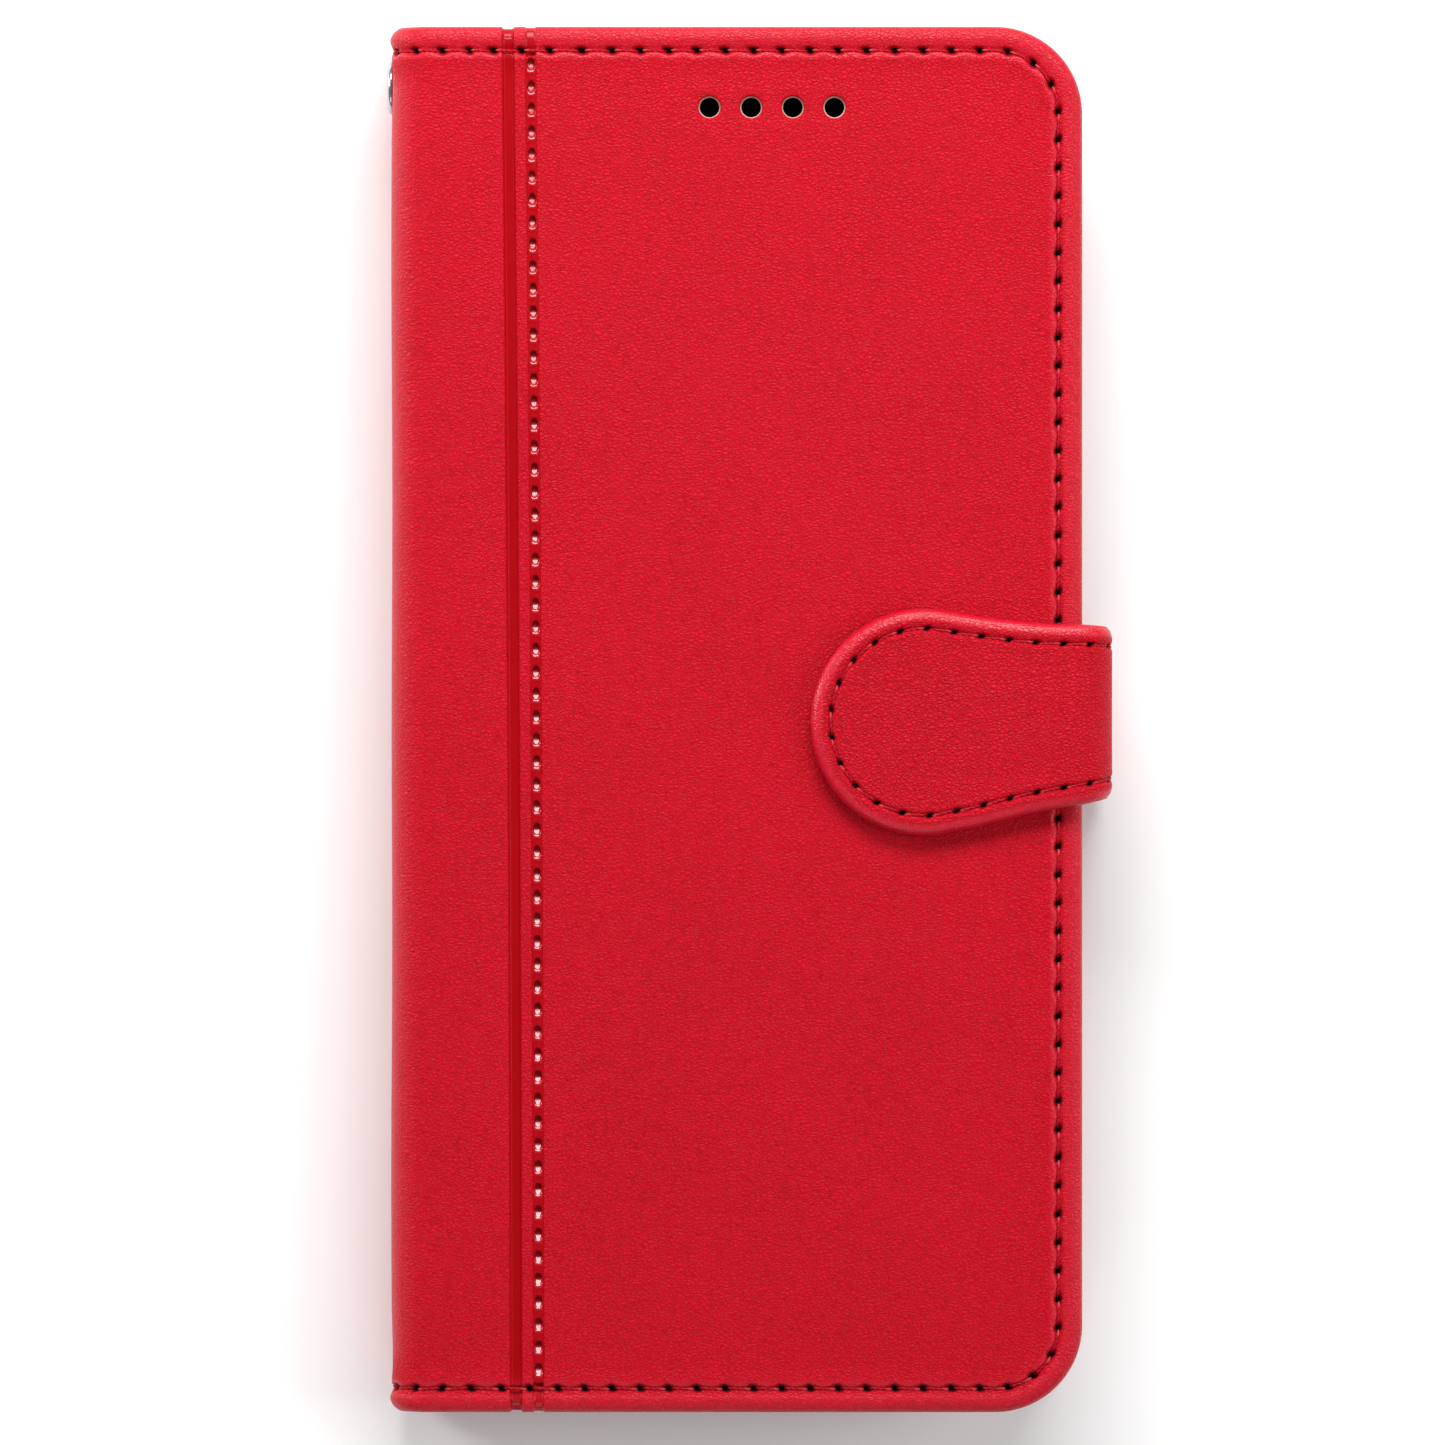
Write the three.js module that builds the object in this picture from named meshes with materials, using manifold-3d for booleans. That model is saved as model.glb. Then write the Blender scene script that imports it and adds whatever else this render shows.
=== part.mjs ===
// Book-style phone wallet case, closed, lying flat on its back cover.
// Millimetres. X runs across the case (spine at -X, opening edge at +X), Y along its height
// (top at +Y), Z up out of the front cover. The origin is the middle of the back cover's outer face.
import * as THREE from 'three';
import Module from 'manifold-3d';

const wasm = await Module();
wasm.setup();
const { Manifold, Mesh: SolidMesh } = wasm;

// ---- outline of both covers ----
const SPINE_X = -41.5; // outer face of the spine
const EDGE_X = 41.5; // opening edge
const HALF_H = 83.25;
const R_EDGE = 10.5; // corners at the opening edge
const R_SPINE = 1.3; // corners at the spine
const SHOULDER = 4.5; // soft radius from each cover into the spine

// ---- layers of the two covers ----
const COVER_T = 3.0;
const SKIN_T = 0.85;
const LINING_T = 0.7;
const RIM = 0.95; // width of the leather turned over the board edge
const GAP = 0.08; // glue line between two layers
const FRONT_Z = 15.0; // inner face of the front cover
const CLOSED_T = FRONT_Z + COVER_T;

// ---- spine ----
const SPINE_T = 1.8;
const SPINE_LOW = 3.2;
const SPINE_HIGH = 14.8;
const CREASE_X = -26.8; // crease between the hinge strip and the front panel
const CREASE_GAP = 0.3;
const SEAM_X = -24.1; // debossed line beside the crease
const SEAM_W = 1.1;
const SEAM_DEPTH = 0.35;

// ---- stitching ----
const STITCH_INSET = 2.9;
const STITCH_PITCH = 3.4;
const THREAD_R = 0.21;
const THREAD_DEPTH = 0.3; // middle of the thread below the leather's face
const CHANNEL_W = 0.95;
const CHANNEL_DEPTH = 0.62;

// ---- phone and its tray ----
const PHONE_X = 4.2;
const PHONE_W = 69.6;
const PHONE_H = 157.6;
const PHONE_R = 9.0;
const TRAY_WALL = 1.4;
const TRAY_LOW = 3.2;
const TRAY_FLOOR = 1.2;
const TRAY_HIGH = 13.1;
const LIP = 0.9;
const LIP_T = 0.7;
const PORT_W = 14;
const KEYS_W = 38;
const KEYS_Y = 24;
const JACK_R = 3.4;
const JACK_X = -12;

// ---- camera window ----
const CAM_X = 27.0;
const CAM_Y = 54.0;
const CAM_W = 14;
const CAM_H = 34;
const CAM_R = 4.5;

// ---- earpiece holes ----
const HOLE_R = 1.3;
const HOLE_PITCH = 5.0;
const HOLE_Y = 73.5;
const HOLE_COUNT = 4;

// ---- card slots and cash pocket ----
const CASH_X = -19;
const SLOT_MOUTHS = [-9, 3, 15];
const SLOT_END_X = 36;
const SLOT_HALF_H = 46;
const SLOT_T = 0.33;

// ---- closing tab ----
const TAB_OUT = 45.0; // outer face of the strap
const TAB_T = 1.8;
const TAB_LOW_FOLD = { x: 43.4, z: 1.6 };
const TAB_TOP_FOLD = { x: 43.3, z: 18.9 };
const FLAP_LOW = 18.3;
const FLAP_HIGH = 20.6;
const FLAP_TIP_X = 22.4; // centre of the round end
const FLAP_TIP_Y = -0.3;
const FLAP_TIP_R = 13.6;
const FLAP_ROOT_X = 41.0; // where the flap's sides become straight
const FLAP_ROOT_HIGH = 11.3;
const FLAP_ROOT_LOW = -10.2;
const ROOT_Y = 0.8; // middle of the strap
const ROOT_HALF = 10.3;

// ---- eyelet ----
const EYELET_Y = 76.5;
const EYELET_Z = 9.0;

const part = new THREE.Group();

// ---------- helpers: solids, cuts and placing ----------

function toSolid(geometry) {
  const g = geometry.index ? geometry : geometry.clone();
  const p = g.attributes.position;
  const count = g.index ? g.index.count : p.count;
  const index = new Map();
  const points = [];
  const corners = [];
  for (let i = 0; i < count; i += 1) {
    const v = g.index ? g.index.getX(i) : i;
    const xyz = [p.getX(v), p.getY(v), p.getZ(v)];
    const key = xyz.map((c) => Math.round(c * 2e4)).join('_');
    if (!index.has(key)) {
      index.set(key, points.length / 3);
      points.push(...xyz);
    }
    corners.push(index.get(key));
  }
  const kept = [];
  for (let i = 0; i < corners.length; i += 3) {
    const [a, b, c] = corners.slice(i, i + 3);
    if (a !== b && b !== c && a !== c) kept.push(a, b, c);
  }
  return new Manifold(
    new SolidMesh({
      numProp: 3,
      vertProperties: new Float32Array(points),
      triVerts: new Uint32Array(kept),
    }),
  );
}

function toGeometry(solid) {
  const m = solid.getMesh();
  const g = new THREE.BufferGeometry();
  const xyz = new Float32Array(m.numVert * 3);
  for (let i = 0; i < m.numVert; i += 1) {
    for (let k = 0; k < 3; k += 1) xyz[i * 3 + k] = m.vertProperties[i * m.numProp + k];
  }
  g.setAttribute('position', new THREE.BufferAttribute(xyz, 3));
  g.setIndex(new THREE.BufferAttribute(new Uint32Array(m.triVerts), 1));
  const flat = g.toNonIndexed();
  flat.computeVertexNormals();
  return flat;
}

function material(name, color, roughness, metalness = 0) {
  const m = new THREE.MeshStandardMaterial({ color, roughness, metalness });
  m.name = name;
  return m;
}

const MATERIALS = {
  outer: ['red_leather', 0xc41830, 0.5],
  inner: ['red_lining', 0x9c1a2a, 0.85],
  pocket: ['pocket_leather', 0xa81c30, 0.6],
  board: ['grey_board', 0x8a8378, 0.9],
  thread: ['red_thread', 0x7a0c1c, 0.7],
  tray: ['black_tpu', 0x141416, 0.55],
  metal: ['bright_metal', 0xd8d8d6, 0.22, 1],
  plate: ['steel_plate', 0x8c8e90, 0.4, 1],
  magnet: ['magnet_sheet', 0x2b2523, 0.8],
  glue: ['clear_adhesive', 0xd9d6cc, 0.6],
};

function add(name, kind, geometry) {
  const mesh = new THREE.Mesh(geometry, material(...MATERIALS[kind]));
  mesh.name = name;
  part.add(mesh);
}

// A flat plate: a shape in X, Y between two heights.
function plate(shape, low, high, segments = 10) {
  const g = new THREE.ExtrudeGeometry(shape, {
    depth: high - low,
    bevelEnabled: false,
    curveSegments: segments,
  });
  g.translate(0, 0, low);
  return g;
}

// A long section: a shape drawn in X, Z, run along Y.
function run(shape, yLow, yHigh, segments = 10) {
  const g = new THREE.ExtrudeGeometry(shape, {
    depth: yHigh - yLow,
    bevelEnabled: false,
    curveSegments: segments,
  });
  g.rotateX(Math.PI / 2);
  g.translate(0, yHigh, 0);
  return g;
}

function box(x0, x1, y0, y1, z0, z1) {
  const g = new THREE.BoxGeometry(x1 - x0, y1 - y0, z1 - z0);
  g.translate((x0 + x1) / 2, (y0 + y1) / 2, (z0 + z1) / 2);
  return g;
}

function rounded(x0, x1, y0, y1, r) {
  const [bl, br, tr, tl] = Array.isArray(r) ? r : [r, r, r, r];
  const s = new THREE.Shape();
  s.moveTo(x0 + bl, y0);
  s.lineTo(x1 - br, y0);
  s.absarc(x1 - br, y0 + br, br, -Math.PI / 2, 0, false);
  s.lineTo(x1, y1 - tr);
  s.absarc(x1 - tr, y1 - tr, tr, 0, Math.PI / 2, false);
  s.lineTo(x0 + tl, y1);
  s.absarc(x0 + tl, y1 - tl, tl, Math.PI / 2, Math.PI, false);
  s.lineTo(x0, y0 + bl);
  s.absarc(x0 + bl, y0 + bl, bl, Math.PI, Math.PI * 1.5, false);
  return s;
}

function cut(geometry, ...tools) {
  let solid = toSolid(geometry);
  for (const t of tools) solid = solid.subtract(toSolid(t));
  return toGeometry(solid);
}

function common(a, b) {
  return toGeometry(toSolid(a).intersect(toSolid(b)));
}

// ---------- outlines ----------

// Outline of a cover, moved in by `inset`, between two X positions.
function coverOutline(inset, x0 = -41.0, x1 = EDGE_X - inset) {
  const y = HALF_H - inset;
  const edge = x1 >= EDGE_X - inset - 0.01 ? Math.max(R_EDGE - inset, 0.4) : 0.05;
  const spine = x0 < -39 ? Math.max(R_SPINE - inset * 0.5, 0.4) : 0.05;
  return rounded(x0, x1, -y, y, [spine, edge, edge, spine]);
}

// Section of a cover plate in X, Z with the shoulder towards the spine and a soft outer edge.
function coverSection(low, up, x1) {
  const s = new THREE.Shape();
  const z = (t) => (up ? low + t : low + COVER_T - t);
  const points = [new THREE.Vector2(-40.5, z(0.05)), new THREE.Vector2(x1 + 0.5, z(-0.01))];
  const soft = 1.1;
  if (x1 > 40) {
    points[1].set(EDGE_X - 0.5, z(0));
    points.push(new THREE.Vector2(EDGE_X, z(0.5)), new THREE.Vector2(EDGE_X, z(COVER_T - soft)));
    for (let i = 1; i <= 4; i += 1) {
      const a = (i / 4) * (Math.PI / 2);
      points.push(
        new THREE.Vector2(EDGE_X - soft + soft * Math.cos(a), z(COVER_T - soft + soft * Math.sin(a))),
      );
    }
  } else {
    points.push(new THREE.Vector2(x1 + 0.5, z(COVER_T)));
  }
  for (let i = 0; i <= 6; i += 1) {
    const a = Math.PI / 2 + (i / 6) * 0.98;
    points.push(
      new THREE.Vector2(
        SPINE_X + SHOULDER + SHOULDER * Math.cos(a),
        z(COVER_T - SHOULDER + SHOULDER * Math.sin(a)),
      ),
    );
  }
  s.setFromPoints(points);
  s.closePath();
  return s;
}

// Solid envelope of one cover: section along Y, cut to the outline.
function coverEnvelope(low, up, x0, x1) {
  const body = run(coverSection(low, up, x1), -HALF_H, HALF_H);
  const outline = plate(coverOutline(0, x0 < -39 ? SPINE_X + 0.05 : x0, x1), low - 1, low + COVER_T + 1, 12);
  return common(body, outline);
}

function cameraShape(grow) {
  return rounded(
    CAM_X - CAM_W / 2 - grow,
    CAM_X + CAM_W / 2 + grow,
    CAM_Y - CAM_H / 2 - grow,
    CAM_Y + CAM_H / 2 + grow,
    CAM_R + grow,
  );
}

function holes(r, low, high) {
  const all = [];
  for (let i = 0; i < HOLE_COUNT; i += 1) {
    const g = new THREE.CylinderGeometry(r, r, high - low, 20);
    g.rotateX(Math.PI / 2);
    g.translate(PHONE_X + (i - (HOLE_COUNT - 1) / 2) * HOLE_PITCH, HOLE_Y, (low + high) / 2);
    all.push(g);
  }
  return all;
}

// ---------- stitching ----------

// Points along the stitch line of a cover: up the top edge, round both corners, back along the bottom.
function stitchPath(xStart, z) {
  const x1 = EDGE_X - STITCH_INSET;
  const y1 = HALF_H - STITCH_INSET;
  const r = R_EDGE - STITCH_INSET;
  const path = new THREE.CurvePath();
  const v = (x, y) => new THREE.Vector3(x, y, z);
  path.add(new THREE.LineCurve3(v(xStart, y1), v(x1 - r, y1)));
  const turn = (cx, cy, a0) => {
    const pts = [];
    for (let i = 0; i <= 8; i += 1) {
      const a = a0 - (i / 8) * (Math.PI / 2);
      pts.push(v(cx + r * Math.cos(a), cy + r * Math.sin(a)));
    }
    return new THREE.CatmullRomCurve3(pts);
  };
  path.add(turn(x1 - r, y1 - r, Math.PI / 2));
  path.add(new THREE.LineCurve3(v(x1, y1 - r), v(x1, -y1 + r)));
  path.add(turn(x1 - r, -y1 + r, 0));
  path.add(new THREE.LineCurve3(v(x1 - r, -y1), v(xStart, -y1)));
  return path;
}

// A thread: one cord that rises in the middle of each stitch and dips at each needle hole.
function thread(path, pitch, side = 1) {
  const n = Math.max(1, Math.round(path.getLength() / pitch));
  const points = [];
  const per = 3;
  for (let i = 0; i <= n * per; i += 1) {
    const p = path.getPointAt(i / (n * per));
    p.z += side * (i % per === 0 ? -0.08 : 0.06);
    points.push(p);
  }
  const section = new THREE.Shape();
  section.absarc(0, 0, THREAD_R, 0, Math.PI * 2, false);
  return new THREE.ExtrudeGeometry(section, {
    steps: n * per,
    bevelEnabled: false,
    curveSegments: 3,
    extrudePath: new THREE.CatmullRomCurve3(points),
  });
}

// The channel a cover's thread lies in, as a band with square section.
function stitchChannel(x0, low, high) {
  const w = CHANNEL_W / 2;
  const outer = coverOutline(STITCH_INSET - w, x0);
  const inner = coverOutline(STITCH_INSET + w, x0 - 5);
  return cut(plate(outer, low, high, 12), plate(inner, low - 1, high + 1, 12));
}

// ---------- covers ----------

function backCover() {
  const out = coverEnvelope(0, false, SPINE_X, EDGE_X);
  const z0 = SKIN_T;
  const hollow = plate(coverOutline(RIM, -39.9), z0, COVER_T + 1, 12);
  const windowRim = plate(cameraShape(RIM), z0, COVER_T + 2, 8);
  const channel = stitchChannel(-36.4, -1, CHANNEL_DEPTH);
  const tongue = box(29.5, EDGE_X + 1, ROOT_Y - ROOT_HALF - 0.3, ROOT_Y + ROOT_HALF + 0.3, 0.95, 2.15);
  const skin = cut(out, cut(hollow, windowRim), channel, tongue, plate(cameraShape(0), -2, 6, 8));
  add('back_skin', 'outer', skin);
  const inset = RIM + 0.15;
  const frame = plate(cameraShape(RIM + 0.15), 0, 5, 8);
  const boardTop = COVER_T - LINING_T - GAP;
  const notch = box(29.4, EDGE_X, ROOT_Y - ROOT_HALF - 0.35, ROOT_Y + ROOT_HALF + 0.35, 0, 5);
  add(
    'back_board',
    'board',
    cut(plate(coverOutline(inset, -38.6), z0 + GAP, boardTop), frame, notch),
  );
  add('back_lining', 'inner', cut(plate(coverOutline(inset, -39.7), boardTop + GAP, COVER_T), frame));
  add('back_thread', 'thread', thread(stitchPath(-36.0, THREAD_DEPTH), STITCH_PITCH, -1));
}

function hingeStrip() {
  const x1 = CREASE_X - CREASE_GAP / 2;
  const low = FRONT_Z;
  const inset = RIM + 0.15;
  const envelope = coverEnvelope(low, true, SPINE_X, x1);
  const hollow = plate(coverOutline(RIM, -39.9, x1 - RIM), low - 1, CLOSED_T - SKIN_T, 4);
  const channel = cut(
    stitchChannel(-38.4, CLOSED_T - CHANNEL_DEPTH, CLOSED_T + 1),
    box(x1 - 0.7, 60, -99, 99, 0, 40),
  );
  add('strip_skin', 'outer', cut(envelope, hollow, channel));
  const boardLow = low + LINING_T + GAP;
  const stripBoard = coverOutline(inset, -38.6, x1 - inset);
  add('strip_board', 'board', plate(stripBoard, boardLow, CLOSED_T - SKIN_T - GAP));
  add('strip_lining', 'inner', plate(coverOutline(inset, -39.7, x1 - inset), low, boardLow - GAP));
  const y = HALF_H - STITCH_INSET;
  const z = CLOSED_T - THREAD_DEPTH;
  for (const [name, side] of [['strip_thread_top', 1], ['strip_thread_bottom', -1]]) {
    const line = new THREE.LineCurve3(
      new THREE.Vector3(-36.6, side * y, z),
      new THREE.Vector3(x1 - 1.0, side * y, z),
    );
    add(name, 'thread', thread(line, STITCH_PITCH));
  }
}

function frontPanel() {
  const x0 = CREASE_X + CREASE_GAP / 2;
  const low = FRONT_Z;
  const inset = RIM + 0.15;
  const envelope = coverEnvelope(low, true, x0, EDGE_X);
  const hollow = plate(coverOutline(RIM, x0 + RIM), low - 1, CLOSED_T - SKIN_T, 12);
  const seam = box(SEAM_X - SEAM_W / 2, SEAM_X + SEAM_W / 2, -99, 99, CLOSED_T - SEAM_DEPTH, 40);
  const channel = stitchChannel(x0 + 0.7, CLOSED_T - CHANNEL_DEPTH, CLOSED_T + 1);
  add('front_skin', 'outer', cut(envelope, hollow, seam, channel, ...holes(HOLE_R, 10, 25)));
  const boardLow = low + LINING_T + GAP;
  const boardHigh = CLOSED_T - SKIN_T - GAP;
  const plateCut = rounded(11.9, 32.1, -9.1, 9.1, 2.1);
  add(
    'front_board',
    'board',
    cut(
      plate(coverOutline(inset, x0 + inset), boardLow, boardHigh),
      plate(plateCut, boardHigh - 0.7, 40, 5),
      ...holes(HOLE_R, 10, 25),
    ),
  );
  add('catch_plate', 'plate', plate(rounded(12, 32, -9, 9, 2), boardHigh - 0.6, boardHigh, 5));
  add(
    'front_lining',
    'inner',
    cut(plate(coverOutline(inset, x0 + inset), low, boardLow - GAP), ...holes(HOLE_R, 10, 25)),
  );
  const z = CLOSED_T - THREAD_DEPTH;
  add('front_thread', 'thread', thread(stitchPath(x0 + 1.0, z), STITCH_PITCH));
}

// ---------- pockets inside the front cover ----------

function pockets() {
  let high = FRONT_Z - 0.06;
  const cash = rounded(CASH_X, 37.2, -79, 69.5, [0.6, 7, 3, 0.6]);
  add('cash_pocket', 'pocket', plate(cash, high - 0.45, high, 6));
  high -= 0.45;
  SLOT_MOUTHS.forEach((mouth, i) => {
    high -= 0.07;
    const shape = rounded(mouth, SLOT_END_X, -SLOT_HALF_H, SLOT_HALF_H, [0.6, 3, 3, 0.6]);
    add(`card_panel_${i + 1}`, 'pocket', plate(shape, high - SLOT_T, high, 6));
    high -= SLOT_T;
  });
}

// ---------- spine ----------

function spine() {
  const y = HALF_H;
  const out = rounded(SPINE_X, SPINE_X + SPINE_T, SPINE_LOW, SPINE_HIGH, [0.5, 0.15, 0.15, 0.5]);
  const hollow = box(SPINE_X + 0.8, 0, -y + RIM, y - RIM, SPINE_LOW + 0.8, SPINE_HIGH - 0.8);
  const bore = new THREE.CylinderGeometry(2.0, 2.0, 20, 24);
  bore.rotateZ(Math.PI / 2);
  bore.translate(SPINE_X, EYELET_Y, EYELET_Z);
  add('spine_skin', 'outer', cut(run(out, -y, y, 4), hollow, bore));
  const x = SPINE_X + 0.8;
  const inner = (x0, x1) => cut(box(x0, x1, -y + 1.1, y - 1.1, SPINE_LOW + 0.95, SPINE_HIGH - 0.95), bore);
  add('spine_board', 'board', inner(x + GAP, x + 0.58));
  add('spine_lining', 'inner', inner(x + 0.64, SPINE_X + SPINE_T));
}

function eyelet() {
  const turned = (points) => {
    const loop = points.map(([r, h]) => new THREE.Vector2(r, h));
    loop.push(loop[0].clone());
    const g = new THREE.LatheGeometry(loop, 32);
    g.rotateZ(Math.PI / 2);
    g.translate(SPINE_X, EYELET_Y, EYELET_Z);
    return toGeometry(toSolid(g));
  };
  // radius, height outwards from the spine's face
  add(
    'eyelet',
    'metal',
    turned([
      [1.4, -2.5],
      [1.8, -2.5],
      [1.8, 0.08],
      [3.2, 0.08],
      [3.2, 0.3],
      [2.6, 0.72],
      [1.9, 0.7],
      [1.4, 0.25],
    ]),
  );
  add('eyelet_washer', 'metal', turned([[1.95, -2.3], [3.0, -2.3], [3.0, -1.9], [1.95, -1.9]]));
}

// ---------- phone tray ----------

function tray() {
  const x0 = PHONE_X - PHONE_W / 2;
  const x1 = PHONE_X + PHONE_W / 2;
  const y = PHONE_H / 2;
  const w = TRAY_WALL;
  const outer = plate(rounded(x0 - w, x1 + w, -y - w, y + w, PHONE_R + w), TRAY_LOW, TRAY_HIGH, 8);
  const bay = plate(rounded(x0, x1, -y, y, PHONE_R), TRAY_LOW + TRAY_FLOOR, TRAY_HIGH - LIP_T, 8);
  const mouth = plate(
    rounded(x0 + LIP, x1 - LIP, -y + LIP, y - LIP, PHONE_R - LIP),
    TRAY_LOW + TRAY_FLOOR + 1,
    TRAY_HIGH + 1,
    8,
  );
  const mid = (TRAY_LOW + TRAY_FLOOR + TRAY_HIGH - LIP_T) / 2;
  const portShape = rounded(PHONE_X - PORT_W / 2, PHONE_X + PORT_W / 2, mid - 3, mid + 3, 2.9);
  const port = run(portShape, -y - 5, -y + 3);
  const jackShape = rounded(JACK_X - JACK_R, JACK_X + JACK_R, mid - JACK_R, mid + JACK_R, 3.3);
  const jack = run(jackShape, y - 3, y + 5);
  const keys = box(x1 - 3, x1 + 5, KEYS_Y - KEYS_W / 2, KEYS_Y + KEYS_W / 2, mid - 2.6, mid + 2.6);
  add('phone_tray', 'tray', cut(outer, bay, mouth, port, jack, keys, plate(cameraShape(1.2), 0, 8, 8)));
  add('tray_adhesive', 'glue', plate(rounded(-22, 18, -66, 34, 3), COVER_T + 0.05, TRAY_LOW - 0.05, 4));
}

// ---------- closing tab ----------

// Outline of the tab over the front cover: round end, slightly hollow sides, wider root.
function flapOutline(inset, xRoot) {
  const s = new THREE.Shape();
  const r = FLAP_TIP_R - inset;
  const hi = FLAP_ROOT_HIGH - inset;
  const lo = FLAP_ROOT_LOW + inset;
  const upper = 1.44; // where the round end meets each side
  const lower = 1.32;
  const from = new THREE.Vector2(FLAP_TIP_X + r * Math.cos(upper), FLAP_TIP_Y + r * Math.sin(upper));
  const to = new THREE.Vector2(FLAP_TIP_X + r * Math.cos(lower), FLAP_TIP_Y - r * Math.sin(lower));
  s.moveTo(xRoot, lo);
  s.lineTo(xRoot, hi);
  s.lineTo(FLAP_ROOT_X, hi);
  s.bezierCurveTo(FLAP_ROOT_X - 6, hi + 0.15, from.x + 5.5, from.y - 0.72, from.x, from.y);
  s.absarc(FLAP_TIP_X, FLAP_TIP_Y, r, upper, Math.PI * 2 - lower, false);
  s.bezierCurveTo(to.x + 4.5, to.y + 1.15, FLAP_ROOT_X - 5, lo - 0.8, FLAP_ROOT_X, lo);
  s.lineTo(xRoot, lo);
  return s;
}

function tabStrap() {
  const y0 = ROOT_Y - ROOT_HALF;
  const y1 = ROOT_Y + ROOT_HALF;
  const low = TAB_LOW_FOLD.z + 1.8;
  const high = TAB_TOP_FOLD.z - 1.95;
  add('tab_side_skin', 'outer', box(TAB_OUT - 0.9, TAB_OUT, y0, y1, low, high));
  add('tab_side_lining', 'inner', box(TAB_OUT - TAB_T, TAB_OUT - 0.98, y0 + 0.3, y1 - 0.3, low, high));
  const tongue = run(rounded(30, TAB_LOW_FOLD.x - 0.3, 1.05, 2.05, 0.45), y0, y1, 4);
  add('tab_root', 'inner', tongue);
}

function tabFlap() {
  const rootX = TAB_OUT;
  const r = FLAP_HIGH - TAB_TOP_FOLD.z;
  const side = new THREE.Shape();
  side.moveTo(0, FLAP_LOW);
  side.lineTo(TAB_TOP_FOLD.x + Math.sqrt(r * r - (TAB_TOP_FOLD.z - FLAP_LOW) ** 2), FLAP_LOW);
  for (let i = 0; i <= 8; i += 1) {
    const a = -0.3 + (i / 8) * (Math.PI / 2 + 0.3);
    side.lineTo(TAB_TOP_FOLD.x + r * Math.cos(a), TAB_TOP_FOLD.z + r * Math.sin(a));
  }
  side.lineTo(0, FLAP_HIGH);
  side.closePath();
  const body = common(plate(flapOutline(0, rootX), FLAP_LOW, FLAP_HIGH, 16), run(side, -30, 30));
  const soft = 0.95;
  const nest = plate(flapOutline(soft, 42.2), FLAP_LOW - 1, FLAP_HIGH - SKIN_T, 12);
  add('tab_flap_skin', 'outer', cut(body, nest, tabChannel()));
  add('tab_flap_lining', 'inner', plate(flapOutline(soft + 0.12, 42.0), FLAP_LOW, FLAP_LOW + 0.6, 12));
  const magnet = rounded(12, 33, FLAP_TIP_Y - 8.5, FLAP_TIP_Y + 8.5, 3);
  add('tab_magnet', 'magnet', plate(magnet, FLAP_LOW + 0.68, FLAP_HIGH - SKIN_T - 0.07, 5));
  const points = flapOutline(2.4, 42.9).getPoints(14);
  const line = points.slice(1).filter((p, i, all) => i === 0 || p.distanceTo(all[i - 1]) > 0.3);
  const z = FLAP_HIGH - THREAD_DEPTH;
  const path = new THREE.CatmullRomCurve3(line.map((p) => new THREE.Vector3(p.x, p.y, z)));
  add('tab_thread', 'thread', thread(path, 3.3));
}

function tabChannel() {
  const w = CHANNEL_W / 2;
  const z = FLAP_HIGH - CHANNEL_DEPTH;
  return cut(
    plate(flapOutline(2.4 - w, 43.2), z, FLAP_HIGH + 1, 14),
    plate(flapOutline(2.4 + w, 46), z - 1, FLAP_HIGH + 2, 14),
  );
}

backCover();
tray();
spine();
eyelet();
hingeStrip();
frontPanel();
pockets();
tabStrap();
tabFlap();

export default part;
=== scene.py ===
# Phone wallet case: the visual model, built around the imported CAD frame.
# Millimetres in the mesh code, metres in Blender. A "sheet" is a leather panel laid out flat:
# u runs along its wrap direction, y along the case, h is height above its outer face.
import math

import bmesh
import bpy
import numpy as np
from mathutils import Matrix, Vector


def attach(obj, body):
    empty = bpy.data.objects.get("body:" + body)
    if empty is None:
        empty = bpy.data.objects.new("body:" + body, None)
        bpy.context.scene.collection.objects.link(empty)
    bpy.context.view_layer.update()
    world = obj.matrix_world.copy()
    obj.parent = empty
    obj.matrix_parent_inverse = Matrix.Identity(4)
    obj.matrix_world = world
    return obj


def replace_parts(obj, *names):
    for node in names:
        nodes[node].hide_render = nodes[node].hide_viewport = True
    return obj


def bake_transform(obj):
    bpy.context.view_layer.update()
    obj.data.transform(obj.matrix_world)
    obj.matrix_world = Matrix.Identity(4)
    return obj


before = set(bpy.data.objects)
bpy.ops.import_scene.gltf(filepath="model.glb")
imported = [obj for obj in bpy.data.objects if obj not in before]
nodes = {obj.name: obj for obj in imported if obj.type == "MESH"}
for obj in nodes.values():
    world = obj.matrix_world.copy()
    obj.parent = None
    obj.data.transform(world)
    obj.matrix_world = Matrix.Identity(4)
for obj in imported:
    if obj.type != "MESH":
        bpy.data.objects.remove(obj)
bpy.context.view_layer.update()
scene = bpy.context.scene
MM = 0.001

# ---- covers: the edge is the opening edge, and a cover joins the spine's sheet at JOIN_U ----
EDGE_X, HALF_H, R_EDGE = 41.5, 83.25, 10.5
CLOSED_T, COVER_T, SPINE_T = 18.0, 3.0, 1.9
SHOULDER_X, SHOULDER_R = -37.0, 4.5
SHOULDER_U = SHOULDER_X - SHOULDER_R * math.pi / 2
JOIN_U = -33.0
SPINE_MID_U = SHOULDER_U - (CLOSED_T / 2 - SHOULDER_R)
CREASE_X, SEAM_X = -26.8, -24.1
BAND = 5.4
STRAIGHT, TOP_Y, INNER_R = EDGE_X - R_EDGE, HALF_H - R_EDGE, R_EDGE - BAND
FINE = 0.27

# ---- stitches ----
STITCH_D, STITCH_PITCH, END_GAP = 2.9, 3.4, 1.0
PAST_JOIN = 1.3
HOLE_FLOOR = -0.79
THREAD_R, THREAD_SIDES, THREAD_STEPS = 0.155, 9, 16

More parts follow.
